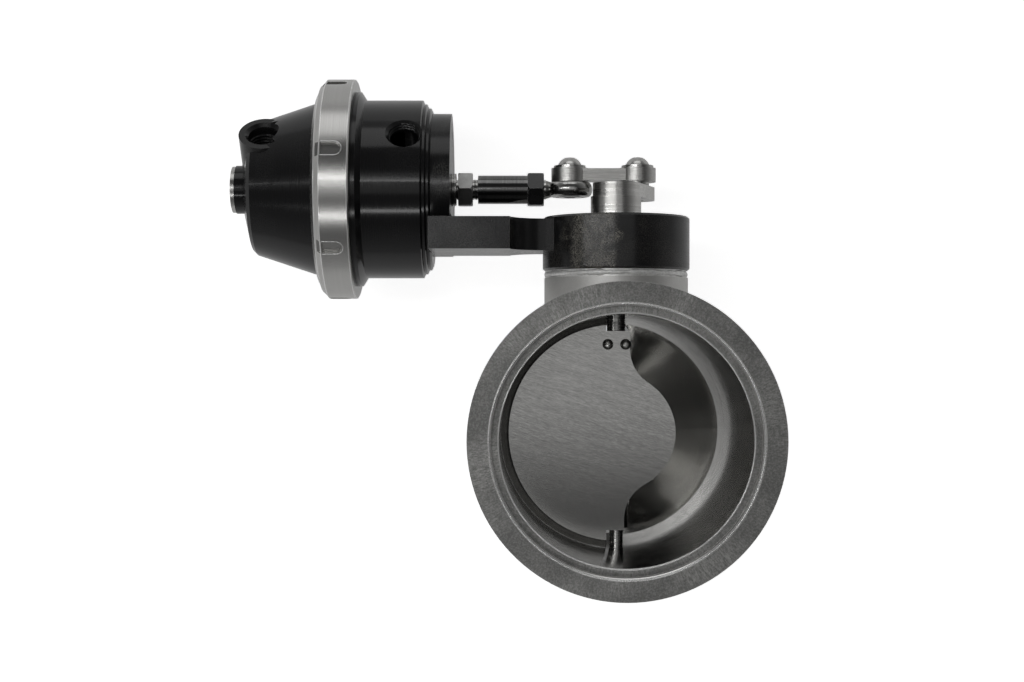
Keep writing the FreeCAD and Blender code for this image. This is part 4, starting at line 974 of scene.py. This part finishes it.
@dataclass
class Workshop:
    """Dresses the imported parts, and makes and dresses the fine pieces that ride on them."""

    effects: Effects
    made: dict[str, bpy.types.Material] = field(default_factory=dict)

    def dress(self, piece: bpy.types.Object, finish: Finish) -> None:
        """Put a finish on a piece.

        Args:
            piece: the object to dress.
            finish: its finish; the material of a name is made once.
        """
        if finish.name not in self.made:
            self.made[finish.name] = finish.material(self.effects)
        piece.data.materials.clear()
        piece.data.materials.append(self.made[finish.name])
        LOG.info("%s: %s", piece.name, finish.name)

    def add(self, name: str, sheet: Sheet, body: str, slot: str, finish: Finish) -> None:
        """Make a piece from a sheet.

        Each quad joins grid point (i, j) with (i+1, j), (i+1, j+1) and (i, j+1).

        Args:
            name: the piece's name.
            sheet: its surface.
            body: the body that it rides on.
            slot: the record's material slot; not used.
            finish: its finish.
        """
        across, along = sheet.steps
        quads_across, quads_along = (count if closed else count - 1
                                     for count, closed in zip(sheet.steps, sheet.closed))
        u, v = np.meshgrid(np.arange(across) / quads_across, np.arange(along) / quads_along,
                           indexing="ij")
        points = sheet.points(u.ravel(), v.ravel())
        i, j = (index.ravel() for index in np.meshgrid(
            np.arange(quads_across), np.arange(quads_along), indexing="ij"))
        after_i, after_j = (i + 1) % across, (j + 1) % along
        quads = np.stack([i * along + j, after_i * along + j, after_i * along + after_j,
                          i * along + after_j], axis=1)
        mesh = bpy.data.meshes.new(name)
        mesh.from_pydata(points.tolist(), [], quads.tolist())
        mesh.polygons.foreach_set("use_smooth", np.ones(len(mesh.polygons), dtype=bool))
        mesh.update()
        piece = bpy.data.objects.new(name, mesh)
        bpy.context.scene.collection.objects.link(piece)
        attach(piece, body)
        self.dress(piece, finish)

    def valve_pieces(self) -> None:
        """Add the neck gasket's embossed rim, and thin bright beads that paint highlights on the
        edges of the front flange's register and bore.
        """
        bead = (GASKET_HIGH - GASKET_LOW) * 0.42
        rim = Ring((0.0, (GASKET_HIGH + GASKET_LOW) / 2, SHAFT_Z), ALONG_Y,
                   GASKET_RADIUS - bead * 0.55, bead, bead, wander=0.06 * MM, steps=(360, 16))
        self.add("neck_gasket_bead", rim, "housing", "gasket_sheet", FOIL)
        for name, radius, height, bead in (
                ("front_register_glint", 31.25 * MM, 83.76 * MM, 0.23 * MM),
                ("front_bore_glint", 29.14 * MM, 81.66 * MM, 0.2 * MM)):
            self.add(name, Ring((0.0, 0.0, height), ALONG_Z, radius, bead, bead), "housing",
                     "body_steel", REGISTER_GLINT)

    def rod_pieces(self) -> None:
        """Add the thread between guide and sleeve, and the rounded rim of the rod end's eye."""
        thread = Thread((-40.4 * MM, ROD_Y, ROD_Z), ALONG_X, root=2.42 * MM, crest=2.62 * MM,
                        pitch=0.8 * MM, length=6.2 * MM)
        self.add("rod_thread", thread, "rod", "bright_steel", ROD)
        low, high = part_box("rod_end")
        rim = Ring((BALL_X, (low[1] + high[1]) / 2, ROD_Z), ALONG_Y, 4.72 * MM, 1.1 * MM,
                   1.86 * MM, steps=(96, 24))
        self.add("rod_end_rim", rim, "rod", "bright_steel", ROD)

    def actuator_threads(self, mounts: Sequence[dict]) -> None:
        """Add a pipe thread inside each port and a fine one round the guide's end.

        Args:
            mounts: the record's mounts.
        """
        depths_and_lengths = {"base_port": (1.45 * MM, 2.95 * MM),
                              "cap_port": (4.3 * MM, 4.3 * MM)}
        for mount in mounts:
            if mount["kind"] != "threaded_hole":
                continue
            depth, length = depths_and_lengths[mount["name"]]
            start = np.array(mount["pos_m"]) - np.array(mount["axis"]) * depth
            thread = Thread(tuple(start), tuple(mount["axis"]), root=3.94 * MM, crest=3.55 * MM,
                            pitch=0.94 * MM, length=length)
            self.add(mount["name"] + "_thread", thread, "housing", "black_aluminium",
                     HOUSING_BLACK)
        guide_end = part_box("rod_guide")[1][0]
        thread = Thread((guide_end - 1.15 * MM, ROD_Y, ROD_Z), ALONG_X, root=4.05 * MM,
                        crest=4.3 * MM, pitch=0.5 * MM, length=1.1 * MM)
        self.add("guide_thread", thread, "housing", "bright_steel", GUIDE)

    def collar_edge_glints(self) -> None:
        """Add thin bright beads that paint highlights on the edges of the collar's rims and spanner
        slots.
        """
        bead = 0.22 * MM
        for name, x, radius in (("collar_rim_base_glint", -66.05 * MM, 27.88 * MM),
                                ("collar_rim_cap_glint", -72.75 * MM, 27.88 * MM),
                                ("collar_rim_lip_glint", -74.16 * MM, 26.4 * MM)):
            self.add(name, Ring((x, ROD_Y, ROD_Z), ALONG_X, radius, bead, bead), "housing",
                     "silver_aluminium", GLINT)
        for number in range(COLLAR_SLOTS):
            edge = SlotEdgeGlint(FIRST_SLOT_TURN + number * FULL_TURN / COLLAR_SLOTS)
            self.add(f"collar_slot_glint_{number + 1}", edge, "housing", "silver_aluminium", GLINT)


@dataclass(frozen=True)
class Lamp:
    """A soft box or a strip light that points down unless it is tilted.

    Attributes:
        name: the lamp's name.
        at: where it stands, in metres.
        size: its width and height, in metres.
        level: how bright its face looks, where 1 is white.
        tilt: how it is turned from pointing straight down, in radians.
    """

    name: str
    at: Triple
    size: tuple[float, float]
    level: float
    tilt: Triple = (0.0, 0.0, 0.0)

    def light(self) -> None:
        """Add it; a box that glows evenly gives out pi times its level times its area."""
        data = bpy.data.lights.new(self.name, "AREA")
        data.shape = "RECTANGLE"
        data.size, data.size_y = self.size
        data.energy = self.level * math.pi * self.size[0] * self.size[1]
        lamp = bpy.data.objects.new(self.name, data)
        lamp.location = self.at
        lamp.rotation_euler = self.tilt
        bpy.context.scene.collection.objects.link(lamp)


@dataclass
class Studio:
    """Floor, lamps, world and camera."""

    camera_at: Triple = (-25.99 * MM, 22.73 * MM, 462 * MM)
    sensor: float = 36.0
    focal: float = 59.06
    clip: tuple[float, float] = (0.01, 20.0)
    floor_z: float = -0.2 * MM
    floor_reach: float = 3.0
    floor_tone: Triple = (0.9, 0.9, 0.9)
    floor_glow: float = 0.78
    floor_glossy_glow: float = 0.2
    lamps: tuple[Lamp, ...] = (
        Lamp("overhead box", (-0.15, 0.10, 0.68), (0.9, 0.30), 0.42),
        Lamp("left strip", (-0.48, 0.135, 0.66), (0.84, 0.04), 7.5),
        Lamp("near strip", (-0.25, -0.30, 0.62), (0.8, 0.04), 7.0, (0.5, 0.0, 0.0)),
        Lamp("far box", (-0.05, 0.75, 0.35), (0.7, 0.4), 1.0, (-1.15, 0.0, 0.0)))

    def camera(self) -> None:
        """Put the camera straight over the front flange, looking down the bore."""
        data = bpy.data.cameras.new("camera")
        data.sensor_width = self.sensor
        data.lens = self.focal
        data.clip_start, data.clip_end = self.clip
        camera = bpy.data.objects.new("camera", data)
        camera.location = self.camera_at
        bpy.context.scene.collection.objects.link(camera)
        bpy.context.scene.camera = camera

    def world(self) -> None:
        """White to the camera; elsewhere mid grey at the horizon and dim overhead."""
        world = bpy.data.worlds.new("studio")
        bpy.context.scene.world = world
        world.use_nodes = True
        graph = Graph(world.node_tree)
        world.node_tree.nodes.clear()
        out = graph.node("ShaderNodeOutputWorld")
        path = graph.node("ShaderNodeLightPath")
        up = graph.split(graph.node("ShaderNodeTexCoord").outputs["Generated"])[2]
        room = graph.spread(up, -0.05, 0.7, 0.5, 0.08)
        back = graph.node("ShaderNodeBackground")
        graph.feed(back.inputs["Strength"], graph.math("MAXIMUM", path.outputs["Is Camera Ray"],
                                                       room))
        graph.feed(out.inputs["Surface"], back.outputs[0])

    def floor(self) -> None:
        """A wide pale floor, white to the camera but for the part's shadow.

        Its corners are a unit square stretched to its reach; its back is see-through.
        """
        corners = np.array([[-1, -1, 0], [1, -1, 0], [1, 1, 0], [-1, 1, 0]]) * self.floor_reach
        corners[:, 2] = self.floor_z
        mesh = bpy.data.meshes.new("floor")
        mesh.from_pydata(corners.tolist(), [], [(0, 1, 2, 3)])
        mesh.materials.append(self._floor_material())
        floor = bpy.data.objects.new("floor", mesh)
        bpy.context.scene.collection.objects.link(floor)

    def _floor_material(self) -> bpy.types.Material:
        """Matt, with a glow for camera, mirror and see-through rays; clear from behind.

        Returns:
            The material.
        """
        material = bpy.data.materials.new("floor")
        material.use_nodes = True
        graph = Graph(material.node_tree)
        material.node_tree.nodes.clear()
        matt = graph.node("ShaderNodeBsdfDiffuse")
        matt.inputs["Color"].default_value = rgba(self.floor_tone)
        path = graph.node("ShaderNodeLightPath")
        seen = graph.plus(graph.times(path.outputs["Is Camera Ray"], self.floor_glow),
                          graph.times(path.outputs["Is Glossy Ray"], self.floor_glossy_glow))
        through = graph.times(path.outputs["Is Transmission Ray"], self.floor_glow)
        glow = graph.node("ShaderNodeEmission")
        graph.feed(glow.inputs["Strength"], graph.plus(seen, through))
        lit = graph.node("ShaderNodeAddShader")
        graph.feed(lit.inputs[0], matt.outputs[0])
        graph.feed(lit.inputs[1], glow.outputs[0])
        clear = graph.node("ShaderNodeBsdfTransparent")
        side = graph.node("ShaderNodeMixShader")
        graph.feed(side.inputs[0], graph.node("ShaderNodeNewGeometry").outputs["Backfacing"])
        graph.feed(side.inputs[1], lit.outputs[0])
        graph.feed(side.inputs[2], clear.outputs[0])
        out = graph.node("ShaderNodeOutputMaterial")
        graph.feed(out.inputs["Surface"], side.outputs[0])
        return material

    def build(self) -> None:
        """Make the whole studio."""
        bpy.context.scene.view_settings.view_transform = "Standard"
        self.camera()
        self.world()
        self.floor()
        for lamp in self.lamps:
            lamp.light()


def main() -> None:
    """Build the looks in order."""
    logging.basicConfig(level=logging.INFO, format="%(name)s: %(message)s")
    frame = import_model()
    workshop = Workshop(Effects())
    for name, finish in LOOKS.items():
        workshop.dress(frame["nodes"][name], finish)
    workshop.valve_pieces()
    workshop.rod_pieces()
    workshop.actuator_threads(frame["record"]["mounts"])
    workshop.collar_edge_glints()
    Studio().build()


if __name__ == "__main__":
    main()
